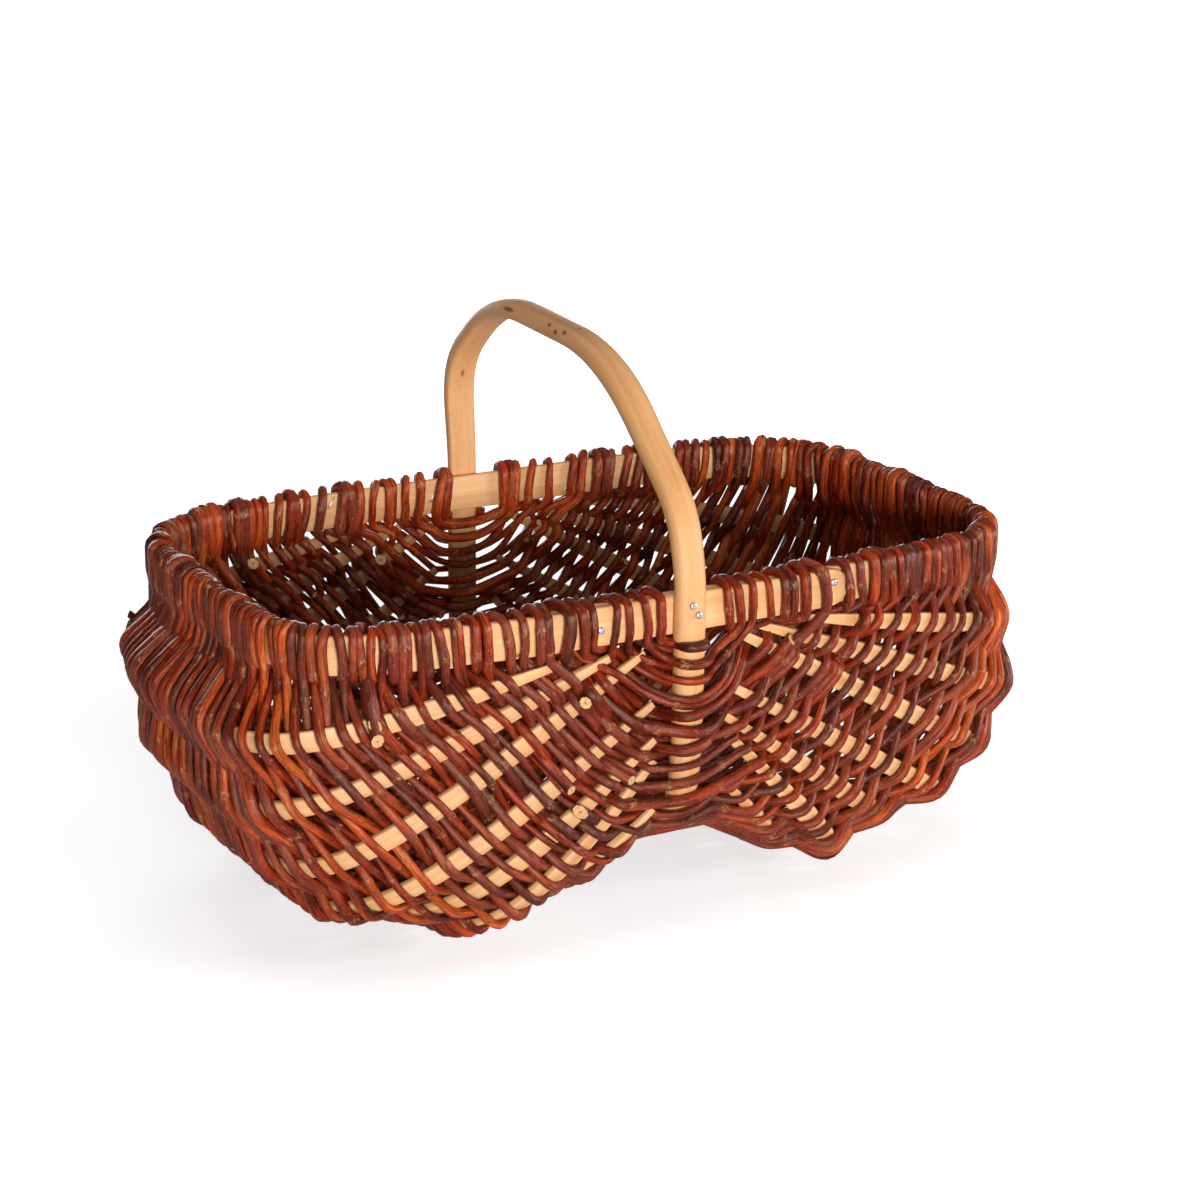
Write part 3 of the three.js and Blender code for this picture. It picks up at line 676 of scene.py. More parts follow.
def rod_with_ends(path, radii, faces, rng):
    """A rod with both ends drawn on past the last crossings, leaning out on the side where they end."""
    head, tail = unit(path[0] - path[1]), unit(path[-1] - path[-2])
    reach = rng.uniform(*END_REACH, 2)
    lean = rng.uniform(*END_LEAN, 2)
    first = path[0] + head * reach[0] + faces[0] * lean[0]
    last = path[-1] + tail * reach[1] + faces[1] * lean[1]
    whole = np.concatenate([[first], path, [last]])
    return Rod(whole, np.concatenate([radii[:1], radii, radii[-1:]]), faces)


def lead_start(route, start):
    """An earlier crossing on the same side, where a rod that follows on at a cut begins."""
    for i in range(start - 3, max(start - ROD_LEAD, 0), -1):
        if route.at_rib[i] and route.sides[i] == route.sides[start]:
            return i
    return start


def butt_rods(plan):
    """Thick ends of rods that show on the ribs at the front left, each going under the rib next to it."""
    sign, half = SIDES["left"], plan.half
    rods = []
    for line, distance, way, radius in BUTTS:
        shares = [share for share in plan.rows if (line, sign, share) in plan.places]
        share = min(shares, key=lambda one: abs(plan.places[line, sign, one] - distance))
        shift = distance - plan.places[line, sign, share]
        point, normal, _ = LINES[line, sign].at(half, distance)
        following = plan.places[line + way, sign, share] + shift
        beyond, outward, _ = LINES[line + way, sign].at(half, following)
        ahead = unit(beyond - point)
        off = RIB_THICKNESS / 2 + radius
        path = [
            point + normal * (off + BUTT_LIFT) - ahead * BUTT_REACH,
            point + normal * off + ahead * RIB_WIDTH / 2,
            (point + beyond) / 2 + (normal + outward) / 2 * radius,
            beyond - outward * off - ahead * RIB_WIDTH / 4,
            beyond - outward * off + ahead * RIB_WIDTH,
        ]
        rods.append(Rod(np.array(path), np.full(len(path), radius), [normal * BUTT_FACE, -outward]))
    return rods


def rods_of_half(half, rng):
    """All rods of one half, from the ear to the middle."""
    plan = Plan(half)
    draft = long_weaver(plan)
    cuts = rod_cuts(draft, rng)
    radii = rod_radii(draft, cuts, half, rng)
    route = long_weaver(plan, radii)
    points = loosened(route, rng)
    slides, outs, sides = (np.array(part) for part in (route.slides, route.outs, route.sides))
    widths = radii * np.where(np.array(route.at_rib) & (sides > 0), ROD_OVER, ROD_UNDER)
    rods = butt_rods(plan) if half == "front" else []
    for start, end in zip(cuts, cuts[1:]):
        first = lead_start(route, start)
        span = slice(first, end + 1)
        path, width = points[span].copy(), widths[span].copy()
        width[:start - first + 1] = radii[min(start + 1, end)]
        if first < start:
            fade = np.clip(1 - (np.arange(len(path)) - (start - first)) / ROD_FADE, 0, 1)
            path += slides[span] * ((radii[start] + radii[start + 1]) * LEAD_ASIDE * fade)[:, None]
        faces = [outs[i] * sides[i] for i in (first, end)]
        rods.append(rod_with_ends(path, width, faces, rng))
    for route, radius in packing_weavers(plan, rng):
        path = loosened(route, rng)
        faces = [route.outs[i] * route.sides[i] for i in (0, -1)]
        width = np.linspace(radius + PACK_TAPER, radius - PACK_TAPER, len(path))
        rods.append(rod_with_ends(path, width, faces, rng))
    return rods


def smooth_path(points, spacing, values):
    """Points along a smooth curve through control points, with values carried along."""
    gaps = np.linalg.norm(np.diff(points, axis=0), axis=1)
    knots = np.sqrt(np.maximum(gaps, 1e-3))
    slopes = np.diff(points, axis=0) / knots[:, None]
    inner = slopes[:-1] * knots[1:, None] + slopes[1:] * knots[:-1, None]
    inner = inner / (knots[:-1] + knots[1:])[:, None]
    tangents = np.concatenate([slopes[:1], inner, slopes[-1:]])
    chords = unit(slopes)
    turns = np.arccos(np.clip((chords[:-1] * chords[1:]).sum(1), -1, 1))
    turns = np.concatenate([[0], turns, [0]])
    bend = (turns[:-1] + turns[1:]) / 2
    counts = np.maximum(np.ceil(gaps / spacing), np.ceil(bend / ROD_BEND_STEP)).astype(int)
    counts = np.maximum(counts, 1)
    segment = np.repeat(np.arange(len(gaps)), counts)
    first = np.repeat(np.cumsum(counts) - counts, counts)
    u = ((np.arange(len(segment)) - first) / counts[segment])[:, None]
    width = knots[segment][:, None]
    path = (
        (2 * u ** 3 - 3 * u ** 2 + 1) * points[segment]
        + (u ** 3 - 2 * u ** 2 + u) * width * tangents[segment]
        + (3 * u ** 2 - 2 * u ** 3) * points[segment + 1]
        + (u ** 3 - u ** 2) * width * tangents[segment + 1]
    )
    carried = values[segment] * (1 - u[:, 0]) + values[segment + 1] * u[:, 0]
    return np.concatenate([path, points[-1:]]), np.concatenate([carried, values[-1:]])


def carried_axes(points):
    """Tangents and two cross axes that turn as little as they can along a path."""
    tangents = unit(np.gradient(points, axis=0))
    current = np.cross(tangents[0], UP)
    if np.linalg.norm(current) < 1e-3:
        current = np.array([1.0, 0.0, 0.0])
    axes = np.empty_like(points)
    for i, tangent in enumerate(tangents):
        current = current - tangent * (current @ tangent)
        current = current / math.sqrt(current @ current)
        axes[i] = current
    return tangents, axes, np.cross(tangents, axes)


def place(points):
    """Rim frame in millimetres to the part's frame in metres."""
    return (points + RIM_CENTRE) * MM


class Tubes:
    """Tubes gathered for one mesh, with values at their points and a map of one strip after another."""

    MAP_SPARE = 0.04
    MAP_EDGE = 0.08
    CAP_EDGE = 0.1
    RING_CUT = 0.5

    def __init__(self):
        self.tubes = []

    def add(self, rings, along, closed=False, **values):
        """Rings of points with the distance along, each value given per ring, per point or once."""
        count, sides = rings.shape[:2]
        spread = {}
        for name, value in values.items():
            value = np.asarray(value, float)
            if value.ndim == 0:
                value = np.full((count, sides), float(value))
            elif value.ndim == 1:
                value = np.repeat(value[:, None], sides, 1)
            spread[name] = value
        self.tubes.append((rings, along, closed, spread))

    def strips(self, rings, along, closed, width, first_row):
        """Quads of one tube and their map: u along it and v round it, in rows of one width."""
        count, sides = rings.shape[:2]
        spans = count if closed else count - 1
        i, j = (grid.ravel() for grid in np.meshgrid(np.arange(spans), np.arange(sides), indexing="ij"))
        k, following = (j + 1) % sides, (i + 1) % count
        corners = ((i, j), (i, k), (following, k), (following, j))
        quads = np.stack([ring * sides + spot for ring, spot in corners], -1)
        row = (along[i] / width).astype(int)
        step = np.diff(np.concatenate([along, [2 * along[-1] - along[-2]]]))
        u = along[i] - row * width
        across = np.stack([u, u, u + step[i], u + step[i]], -1)
        low, high = j / sides, (j + 1) / sides
        around = self.MAP_EDGE + (1 - 2 * self.MAP_EDGE) * np.stack([low, high, high, low], -1)
        mapped = np.stack([across, first_row + row[:, None] + around], -1)
        return quads, mapped, first_row + row.max() + 1

    def caps(self, rings):
        """Points and triangles that close both ends, with a pith point in the middle."""
        points, faces = [], []
        sides = rings.shape[1]
        for at, outward in ((0, -1), (-1, 1)):
            middle = rings[at].mean(0)
            base = len(points) * (sides + 1)
            points.append(np.concatenate([rings[at], [middle]]))
            ring = [(base + j, base + (j + 1) % sides, base + sides) for j in range(sides)]
            faces += ring if outward > 0 else [face[::-1] for face in ring]
        return np.concatenate(points), np.array(faces)

    def build(self, name, material, nodes):
        """One mesh of all tubes, riding on the body, in place of some nodes of the part."""
        total = sum(along[-1] for _, along, _, _ in self.tubes)
        edges = [rings[0] - np.roll(rings[0], 1, 0) for rings, *_ in self.tubes]
        girth = np.mean([np.linalg.norm(edge, axis=1).sum() for edge in edges])
        width = math.sqrt(total * girth)
        vertices, quads, triangles, quad_maps, triangle_maps = [], [], [], [], []
        values = {}
        count, row = 0, 0
        for rings, along, closed, spread in self.tubes:
            faces, mapped, row = self.strips(rings, along, closed, width, row)
            quads.append(faces + count)
            quad_maps.append(mapped)
            vertices.append(rings.reshape(-1, 3))
            count += len(vertices[-1])
            for key, value in spread.items():
                values.setdefault(key, []).append(value.reshape(-1, *value.shape[2:]))
            values.setdefault("cut", []).append(np.zeros(len(vertices[-1])))
            if closed:
                continue
            points, faces = self.caps(rings)
            triangles.append(faces + count)
            vertices.append(points)
            count += len(points)
            spots = np.array([[0.0, 0.0], [girth / 3, 0.0], [girth / 6, 1 - 2 * self.CAP_EDGE]])
            spots += np.array([0.0, row + self.CAP_EDGE])
            triangle_maps.append(np.tile(spots, (len(faces), 1, 1)))
            row += 1
            for key, value in spread.items():
                ends = [np.concatenate([value[at], value[at].mean(0, keepdims=True)]) for at in (0, -1)]
                values[key].append(np.concatenate(ends))
            ends = np.full(len(points), self.RING_CUT)
            ends[rings.shape[1]::rings.shape[1] + 1] = 1.0
            values["cut"].append(ends)
        quads = np.concatenate(quads)
        triangles = np.concatenate(triangles) if triangles else np.empty((0, 3), int)
        scale = np.array([1 / (width * (1 + self.MAP_SPARE)), 1 / row])
        maps = np.concatenate([part.reshape(-1, 2) for part in (*quad_maps, *triangle_maps)]) * scale
        mesh = self.make_mesh(name, np.concatenate(vertices), quads, triangles, maps, values)
        mesh.materials.append(material)
        piece = bpy.data.objects.new(name, mesh)
        bpy.context.scene.collection.objects.link(piece)
        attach(piece, "root")
        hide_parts(*nodes)

    def make_mesh(self, name, vertices, quads, triangles, maps, values):
        """Smooth mesh of quads and triangles, with its map and its values at the points."""
        mesh = bpy.data.meshes.new(name)
        mesh.vertices.add(len(vertices))
        mesh.vertices.foreach_set("co", place(vertices).astype(np.float32).ravel())
        corners = np.concatenate([quads.ravel(), triangles.ravel()]).astype(np.int32)
        quad_starts = np.arange(len(quads)) * 4
        starts = np.concatenate([quad_starts, 4 * len(quads) + np.arange(len(triangles)) * 3])
        mesh.loops.add(len(corners))
        mesh.loops.foreach_set("vertex_index", corners)
        mesh.polygons.add(len(starts))
        mesh.polygons.foreach_set("loop_start", starts.astype(np.int32))
        mesh.update(calc_edges=True)
        mesh.shade_smooth()
        layer = mesh.uv_layers.new(name="OFBake")
        layer.data.foreach_set("uv", maps.astype(np.float32).ravel())
        for key, arrays in values.items():
            data = np.concatenate(arrays).astype(np.float32)
            kind, field = ("FLOAT_VECTOR", "vector") if data.ndim == 2 else ("FLOAT", "value")
            mesh.attributes.new(key, kind, "POINT").data.foreach_set(field, data.ravel())
        return mesh


def bud_swelling(along, rng):
    """Swelling along a rod at its buds, 1 on a bud."""
    spots = np.cumsum(rng.uniform(*BUD_SPACING, int(along[-1] / BUD_SPACING[0]) + 1))
    swelling = np.zeros(len(along))
    for spot in spots[spots < along[-1]]:
        swelling = np.maximum(swelling, np.exp(-((along - spot) / BUD_LENGTH) ** 2))
    return swelling


def add_rod(tubes, rod, rng):
    """One willow rod: a tapered tube with swellings at its buds and slanted cuts that face out."""
    path, radius = smooth_path(rod.path, ROD_STEP, rod.radii)
    along = along_path(path)
    buds = bud_swelling(along, rng)
    radius = radius * (1 + BUD_SWELLING * buds + ROD_WAVER * smooth_noise(len(path), 4, rng))
    tangents, side, up = carried_axes(path)
    theta = np.arange(ROD_SIDES) * 2 * math.pi / ROD_SIDES
    cos, sin = np.cos(theta), np.sin(theta)
    spokes = side[:, None] * cos[None, :, None] + up[:, None] * sin[None, :, None]
    rings = path[:, None] + radius[:, None, None] * spokes
    for at, face, way in ((0, rod.faces[0], -1), (-1, rod.faces[1], 1)):
        slant = radius[at] * CUT_SLANT * (1 - spokes[at] @ face)
        rings[at] += way * tangents[at] * slant[:, None]
    start = GRAIN_START * rng.random()
    parts = along[:, None] + start, radius[:, None] * cos, radius[:, None] * sin
    grain = np.stack(np.broadcast_arrays(*parts), -1)
    tubes.add(rings, along, grain=grain, tone=rng.random(), shade=rng.random(), bud=buds)


# Peeled wood: strips of one section along a path
STRIP_STEP = 3.0
ROUND_STEPS = 4
RIM_SAMPLES = 3000
RIM_ROUNDING = 1.1
RIM_TONE = 0.3
LAP_END = 12.0
LAP_END_TIP = 0.02
LAP_END_THICKNESS = 0.45
RIB_STEP = 3.5
RIB_ROUNDING = 1.3
RIB_WAVER = 0.06
RIB_TONE = 0.5
RIB_TIP_THICKNESS = 0.55
RIB_TIP_LENGTH = 60.0
HOOP_CROWN = 2.9
HOOP_CROWN_POINTS = 15
HOOP_EDGE_POINTS = 5
HOOP_SOFTNESS = 2.0
KEEL_SAMPLES = 1200
HANDLE_FULL = (15.0, 60.0)
HANDLE_FULLNESS = 0.16
HANDLE_WIDENING = 0.03
HANDLE_INWARD = 1.1
HANDLE_WAVER = 0.025
HANDLE_EVEN_END = 40
HANDLE_TONE = 0.9
HANDLE_SMOOTHING = np.array([1, 2, 3, 2, 1]) / 9
BEND_SHARE = 0.48
BEND_POINTS = 25
GRAIN_SPREAD = 500.0

# Marks of the handle: along from its front foot, aside, out, half length and half width
HANDLE_MARKS = [(along + GRAIN_SPREAD * HANDLE_TONE, *rest) for along, *rest in (
    (262.5, -8.6, 0.9, 7.0, 1.5),
    (214.6, -7.6, 2.7, 1.8, 1.4),
    (205.6, -8.5, 0.8, 2.2, 1.7),
    (196.6, -7.6, 2.6, 2.0, 1.5),
    (193.7, 0.0, 5.1, 1.6, 1.2),
)]


def strip_section(half_width, half_thickness, rounding):
    """Section of a flat strip with rounded edges, as aside and out in millimetres."""
    section = []
    for turn, (aside, out) in enumerate(((1, 1), (-1, 1), (-1, -1), (1, -1))):
        for step in range(ROUND_STEPS):
            angle = QUARTER * (turn + step / (ROUND_STEPS - 1))
            x = aside * (half_width - rounding) + rounding * math.cos(angle)
            section.append((x, out * (half_thickness - rounding) + rounding * math.sin(angle)))
    return np.array(section)


def hoop_section():
    """Section of the hoop, flat inside with soft edges and crowned outside."""
    half, thick, soft = HOOP_WIDTH / 2, HOOP_THICKNESS / 2, HOOP_SOFTNESS
    across, up = superellipse(np.linspace(0, math.pi, HOOP_CROWN_POINTS), HOOP_CROWN)
    crown = np.stack([half * across, -thick + soft + (2 * thick - soft) * up], -1)
    edge = np.linspace(0, QUARTER, HOOP_EDGE_POINTS)[1:]
    left = np.stack([-half + soft - soft * np.cos(edge), -thick + soft - soft * np.sin(edge)], -1)
    edge = edge[:-1]
    right = np.stack([half - soft + soft * np.sin(edge), -thick + soft - soft * np.cos(edge)], -1)
    return np.concatenate([crown, left, right])


def resample(points, spacing, closed=False):
    """Points at even distances along a path."""
    whole = np.concatenate([points, points[:1]]) if closed else points
    along = along_path(whole)
    count = int(round(along[-1] / spacing))
    wanted = np.linspace(0, along[-1], count + 1)[:-1 if closed else None]
    return np.stack([np.interp(wanted, along, whole[:, axis]) for axis in range(3)], -1)


def add_strip(tubes, points, asides, outs, section, scales, tone, closed=False):
    """Strip of one section along a path, scaled ring by ring."""
    across, out = section[:, 0] * scales[:, 0:1], section[:, 1] * scales[:, 1:2]
    rings = points[:, None] + asides[:, None] * across[..., None] + outs[:, None] * out[..., None]
    along = along_path(points)
    grain = np.stack(np.broadcast_arrays(along[:, None] + GRAIN_SPREAD * tone, across, out), -1)
    tubes.add(rings, along, closed, grain=grain, tone=tone)


def rim_angle(x):
    """Angle of a place on the front rim."""
    along = abs(x) / HALF_LENGTH
    across = (1 - along ** RIM_FRONT_SQUARENESS) ** (1 / RIM_FRONT_SQUARENESS)
    return math.copysign(math.atan2(along, across), x)


def rim_strip(tubes):
    """The rim: once round, from the rounded end on top of the lap to the end under it."""
    lap_angle = rim_angle(-LAP_LEFT)
    angle = np.linspace(rim_angle(LAP_RIGHT), lap_angle - 2 * math.pi, RIM_SAMPLES)
    points, normals = rim_points(angle)
    eased = np.array([lap_step(x) for x in points[:, 0]])
    step = np.where(angle > rim_angle(-LAP_LEFT - LAP_EASE), eased, 0.0)
    path = resample(points + normals * step[:, None], STRIP_STEP)
    tangents = unit(np.gradient(path, axis=0))
    outs = unit(np.cross(tangents, UP))
    outs *= np.sign((outs * path).sum(1, keepdims=True))
    along = along_path(path)
    taper = np.sqrt(np.clip(1 - (1 - np.clip(along / LAP_END, 0, 1)) ** 2, LAP_END_TIP, 1))
    thinning = np.clip(LAP_END_THICKNESS + along / (3 * LAP_END), 0, 1)
    scales = np.stack([taper, thinning], -1)
    section = strip_section(RIM_STRIP_WIDTH / 2, RIM_STRIP_THICKNESS / 2, RIM_ROUNDING)
    asides = np.tile(UP, (len(path), 1))
    add_strip(tubes, path, asides, outs, section, scales, RIM_TONE)


def handle_path():
    """Closed middle line of the hoop: the handle's bends and then the keel from behind to the front."""
    foot = RIM_STRIP_WIDTH / 2 + GAP + FOOT_BEND
    feet = [HandleBend(across, foot, FOOT_BEND) for across in (-HOOP_FRONT, HOOP_BACK)]
    bends = [feet[0], FRONT_KNEE, FRONT_SHOULDER, BACK_SHOULDER, BACK_KNEE, feet[1]]
    ends = [np.array([across, 0.0]) for across in (-HOOP_FRONT, HOOP_BACK)]
    stops = [ends[0], *(np.array([bend.across, bend.rise]) for bend in bends), ends[1]]
    flat = [stops[0]]
    share = np.linspace(0, 1, BEND_POINTS)[:, None]
    for before, at, after, bend in zip(stops, stops[1:], stops[2:], bends):
        room = BEND_SHARE * min(np.linalg.norm(before - at), np.linalg.norm(after - at))
        enter, leave = (at + unit(end - at) * min(room, bend.bend) for end in (before, after))
        flat += list((1 - share) ** 2 * enter + 2 * share * (1 - share) * at + share ** 2 * leave)
    flat = np.array(flat + [stops[-1]])
    handle = hoop_points(flat[:, 0], flat[:, 1])
    keel = keel_points(np.linspace(math.pi, 0, KEEL_SAMPLES)[1:-1])
    return resample(np.concatenate([handle, keel]), STRIP_STEP, closed=True)


def handle_strip(tubes):
    """The hoop: a closed strip that is fuller along the handle."""
    path = handle_path()
    looped = np.concatenate([path[-3:], path, path[:3]])
    smoothed = [np.convolve(looped[:, axis], HANDLE_SMOOTHING, "same") for axis in range(3)]
    smoothed = np.stack(smoothed, -1)[3:-3]
    tangents = unit(np.roll(smoothed, -1, 0) - np.roll(smoothed, 1, 0))
    aside = np.array([math.cos(HOOP_TURN), -math.sin(HOOP_TURN), 0.0])
    asides = np.tile(aside, (len(path), 1))
    outs = unit(np.cross(tangents, asides))
    outs *= np.sign((outs * (smoothed - smoothed.mean(0))).sum(1, keepdims=True))
    rng = np.random.default_rng(HANDLE_SEED)
    noise = smooth_noise(len(path) - HANDLE_EVEN_END, 12, rng)
    waver = 1 + HANDLE_WAVER * np.concatenate([noise, np.zeros(HANDLE_EVEN_END)])
    handle = np.clip((smoothed[:, 2] - HANDLE_FULL[0]) / (HANDLE_FULL[1] - HANDLE_FULL[0]), 0, 1)
    middle = smoothed - outs * (HANDLE_INWARD * handle)[:, None]
    scales = np.stack([waver + HANDLE_WIDENING * handle, waver + HANDLE_FULLNESS * handle], -1)
    add_strip(tubes, middle, asides, outs, hoop_section(), scales, HANDLE_TONE, closed=True)


def rib_strip(tubes, line, sign, rng):
    """One rib: a split strip, rounded at its edges and pointed at its tips."""
    row = LINES[line, sign]
    along = np.arange(row.tips["front"], row.total - row.tips["back"], RIB_STEP)
    points, normals = (
        np.stack([np.interp(along, row.distances, rows[:, axis]) for axis in range(3)], -1)
        for rows in (row.points, row.normals)
    )
    tangents = unit(np.gradient(points, axis=0))
    outs = unit(normals - tangents * (normals * tangents).sum(1, keepdims=True))
    asides = np.cross(outs, tangents)
    ends = np.minimum(along - row.tips["front"], row.total - row.tips["back"] - along)
    widths = RIB_TIP_WIDTH + (RIB_WIDTH - RIB_TIP_WIDTH) * np.clip(ends / RIB_TAPER, 0, 1)
    waver = 1 + RIB_WAVER * smooth_noise(len(along), 8, rng)
    thinning = np.clip(RIB_TIP_THICKNESS + ends / RIB_TIP_LENGTH, 0, 1)
    scales = np.stack([widths / RIB_WIDTH * waver, thinning], -1)
    section = strip_section(RIB_WIDTH / 2, RIB_THICKNESS / 2, RIB_ROUNDING)
    add_strip(tubes, points, asides, outs, section, scales, RIB_TONE * rng.random())


# Materials

def srgb(red, green, blue):
    """Linear colour of an sRGB colour in 0 to 255."""
    scaled = np.array([red, green, blue]) / 255
    linear = np.where(scaled <= 0.04045, scaled / 12.92, ((scaled + 0.055) / 1.055) ** 2.4)
    return (*linear, 1.0)


class Shader:
    """A material and short ways to add the nodes that it is made of."""

    def __init__(self, name):
        self.material = bpy.data.materials.new(name)
        self.material.use_nodes = True
        self.tree = self.material.node_tree
        self.surface = self.tree.nodes["Principled BSDF"]

    def put(self, value, socket):
        """Link a value to a socket, or set it there if it is the same all over."""
        if isinstance(value, bpy.types.NodeSocket):
            self.tree.links.new(value, socket)
        else:
            socket.default_value = value

    def node(self, kind, inputs, output=0, **settings):
        """One output of a new node."""
        node = self.tree.nodes.new(kind)
        for name, value in settings.items():
            setattr(node, name, value)
        for name, value in inputs.items():
            self.put(value, node.inputs[name])
        return node.outputs[output]

    def attribute(self, name, output="Fac"):
        return self.node("ShaderNodeAttribute", {}, output, attribute_name=name)

    def math(self, operation, first, second=0.0, clamp=False):
        return self.node("ShaderNodeMath", {0: first, 1: second}, operation=operation, use_clamp=clamp)

    def times(self, first, second):
        return self.math("MULTIPLY", first, second)

    def plus(self, first, second):
        return self.math("ADD", first, second)

    def vectors(self, operation, first, second=(0, 0, 0), output=0):
        return self.node("ShaderNodeVectorMath", {0: first, 1: second}, output, operation=operation)

    def scaled(self, vector, along, across):
        """Grain place with one scale along and another across."""
        return self.vectors("MULTIPLY", vector, (along, across, across))

    def noise(self, vector, detail=3.0, roughness=0.5):
        inputs = {"Vector": vector, "Scale": 1.0, "Detail": detail, "Roughness": roughness}
        return self.node("ShaderNodeTexNoise", inputs, "Fac")

    def step(self, value, low, high):
        """Smooth step of a value between two levels."""
        inputs = {"Value": value, "From Min": low, "From Max": high, "To Min": 0.0, "To Max": 1.0}
        return self.node("ShaderNodeMapRange", inputs, interpolation_type="SMOOTHSTEP")

    def mix(self, share, first, second, blend="MIX"):
        node = self.tree.nodes.new("ShaderNodeMix")
        node.data_type = "RGBA"
        node.blend_type = blend
        self.put(share, node.inputs[0])
        self.put(first, node.inputs[6])
        self.put(second, node.inputs[7])
        return node.outputs[2]

    def ramp(self, value, stops):
        node = self.tree.nodes.new("ShaderNodeValToRGB")
        elements = node.color_ramp.elements
        while len(elements) < len(stops):
            elements.new(0.5)
        for element, (position, colour) in zip(elements, stops):
            element.position = position
            element.color = colour
        self.put(value, node.inputs[0])
        return node.outputs[0]

    def tint(self, colour, share, strength, tone):
        """A colour with part of another one laid over it."""
        return self.mix(self.times(share, strength), colour, tone)

    def vary(self, colour, value, low, high):
        """A colour made darker or lighter, by a factor between two levels."""
        factor = self.ramp(value, ((0.0, (low, low, low, 1)), (1.0, (high, high, high, 1))))
        return self.mix(1.0, colour, factor, "MULTIPLY")

    def bump(self, height, strength, distance):
        inputs = {"Height": height, "Strength": strength, "Distance": distance * MM}
        return self.node("ShaderNodeBump", inputs)

    def finish(self, **inputs):
        """The material, with inputs of its surface by name."""
        for name, value in inputs.items():
            self.put(value, self.surface.inputs[name.replace("_", " ").title()])
        return self.material


def bark_material():
    """Unpeeled willow: glossy red-brown bark with spots, pale scuffs, buds and pale cut ends, and
    lengthwise streaking and fine cracks whose colour is painted shade in their grooves and painted
    highlight on their ridges.
    """
    s = Shader("willow_bark")
    grain = s.attribute("grain", "Vector")
    tone, shade, bud, cut = (s.attribute(name) for name in ("tone", "shade", "bud", "cut"))
    mottle = s.noise(s.scaled(grain, 0.03, 0.15), 3.0)
    streaks_and_painted_shading = s.noise(s.scaled(grain, 0.05, 1.1), 4.0, 0.6)
    crackle_and_painted_shading = s.noise(s.scaled(grain, 0.3, 2.2), 4.0, 0.7)
    depth = s.plus(s.times(tone, 0.42), s.times(mottle, 1.3))
    depth = s.math("SUBTRACT", depth, 0.38, clamp=True)
    colour = s.ramp(depth, (
        (0.0, srgb(48, 13, 5)),
        (0.25, srgb(91, 22, 7)),
        (0.5, srgb(137, 38, 10)),
        (0.75, srgb(171, 66, 19)),
        (1.0, srgb(197, 102, 40)),
    ))
    colour = s.tint(colour, s.step(shade, 0.72, 0.9), 0.6, srgb(92, 40, 32))
    # Painted shade and highlight: the streaking and the fine cracks also make the bump, and the colour
    # goes darker in their grooves and lighter on their ridges.
    colour = s.vary(colour, s.step(streaks_and_painted_shading, 0.3, 0.7), 0.42, 1.5)
    colour = s.vary(colour, s.step(crackle_and_painted_shading, 0.3, 0.7), 0.6, 1.35)
    scuffs = s.step(s.noise(s.scaled(grain, 0.06, 0.35), 5.0, 0.65), 0.6, 0.72)
    colour = s.tint(colour, scuffs, 0.4, srgb(178, 98, 48))
    spots = s.step(s.noise(s.scaled(grain, 0.55, 0.9), 2.0), 0.65, 0.71)
    colour = s.tint(colour, spots, 0.45, srgb(200, 138, 92))
    crust = s.noise(s.scaled(grain, 0.45, 0.7), 4.0, 0.7)
    collar = s.times(s.step(bud, 0.45, 0.85), s.step(crust, 0.5, 0.6))
    colour = s.tint(colour, collar, 0.8, srgb(182, 128, 84))
    shadow = s.times(s.step(bud, 0.25, 0.5), s.step(crust, 0.46, 0.36))
    colour = s.tint(colour, shadow, 0.6, srgb(44, 16, 10))
    fibres = s.noise(s.scaled(grain, 0.3, 1.2), 3.0)
    pale = s.ramp(fibres, ((0.3, srgb(196, 140, 86)), (0.7, srgb(232, 190, 134))))
    rings = s.math("SINE", s.times(cut, 75.0))
    pale = s.tint(pale, s.step(rings, 0.2, 0.9), 0.25, srgb(160, 104, 58))
    pale = s.mix(s.step(cut, 0.9, 0.95), pale, srgb(118, 72, 40))
    pale = s.mix(s.step(cut, 0.56, 0.52), pale, srgb(78, 32, 18))
    colour = s.mix(s.step(cut, 0.2, 0.4), colour, pale)
    roughness = s.plus(s.times(s.step(crackle_and_painted_shading, 0.3, 0.7), 0.22), 0.2)
    roughness = s.plus(roughness, s.times(cut, 0.35))
    height = s.plus(streaks_and_painted_shading, s.times(spots, 0.4))
    height = s.plus(height, s.times(s.times(crust, bud), 1.2))
    height = s.plus(height, s.times(crackle_and_painted_shading, 0.5))
    s.put(0.42, s.surface.inputs["Specular IOR Level"])
    s.put((1.0, 0.78, 0.6, 1.0), s.surface.inputs["Specular Tint"])
    return s.finish(base_color=colour, roughness=roughness, normal=s.bump(height, 0.8, 0.5))


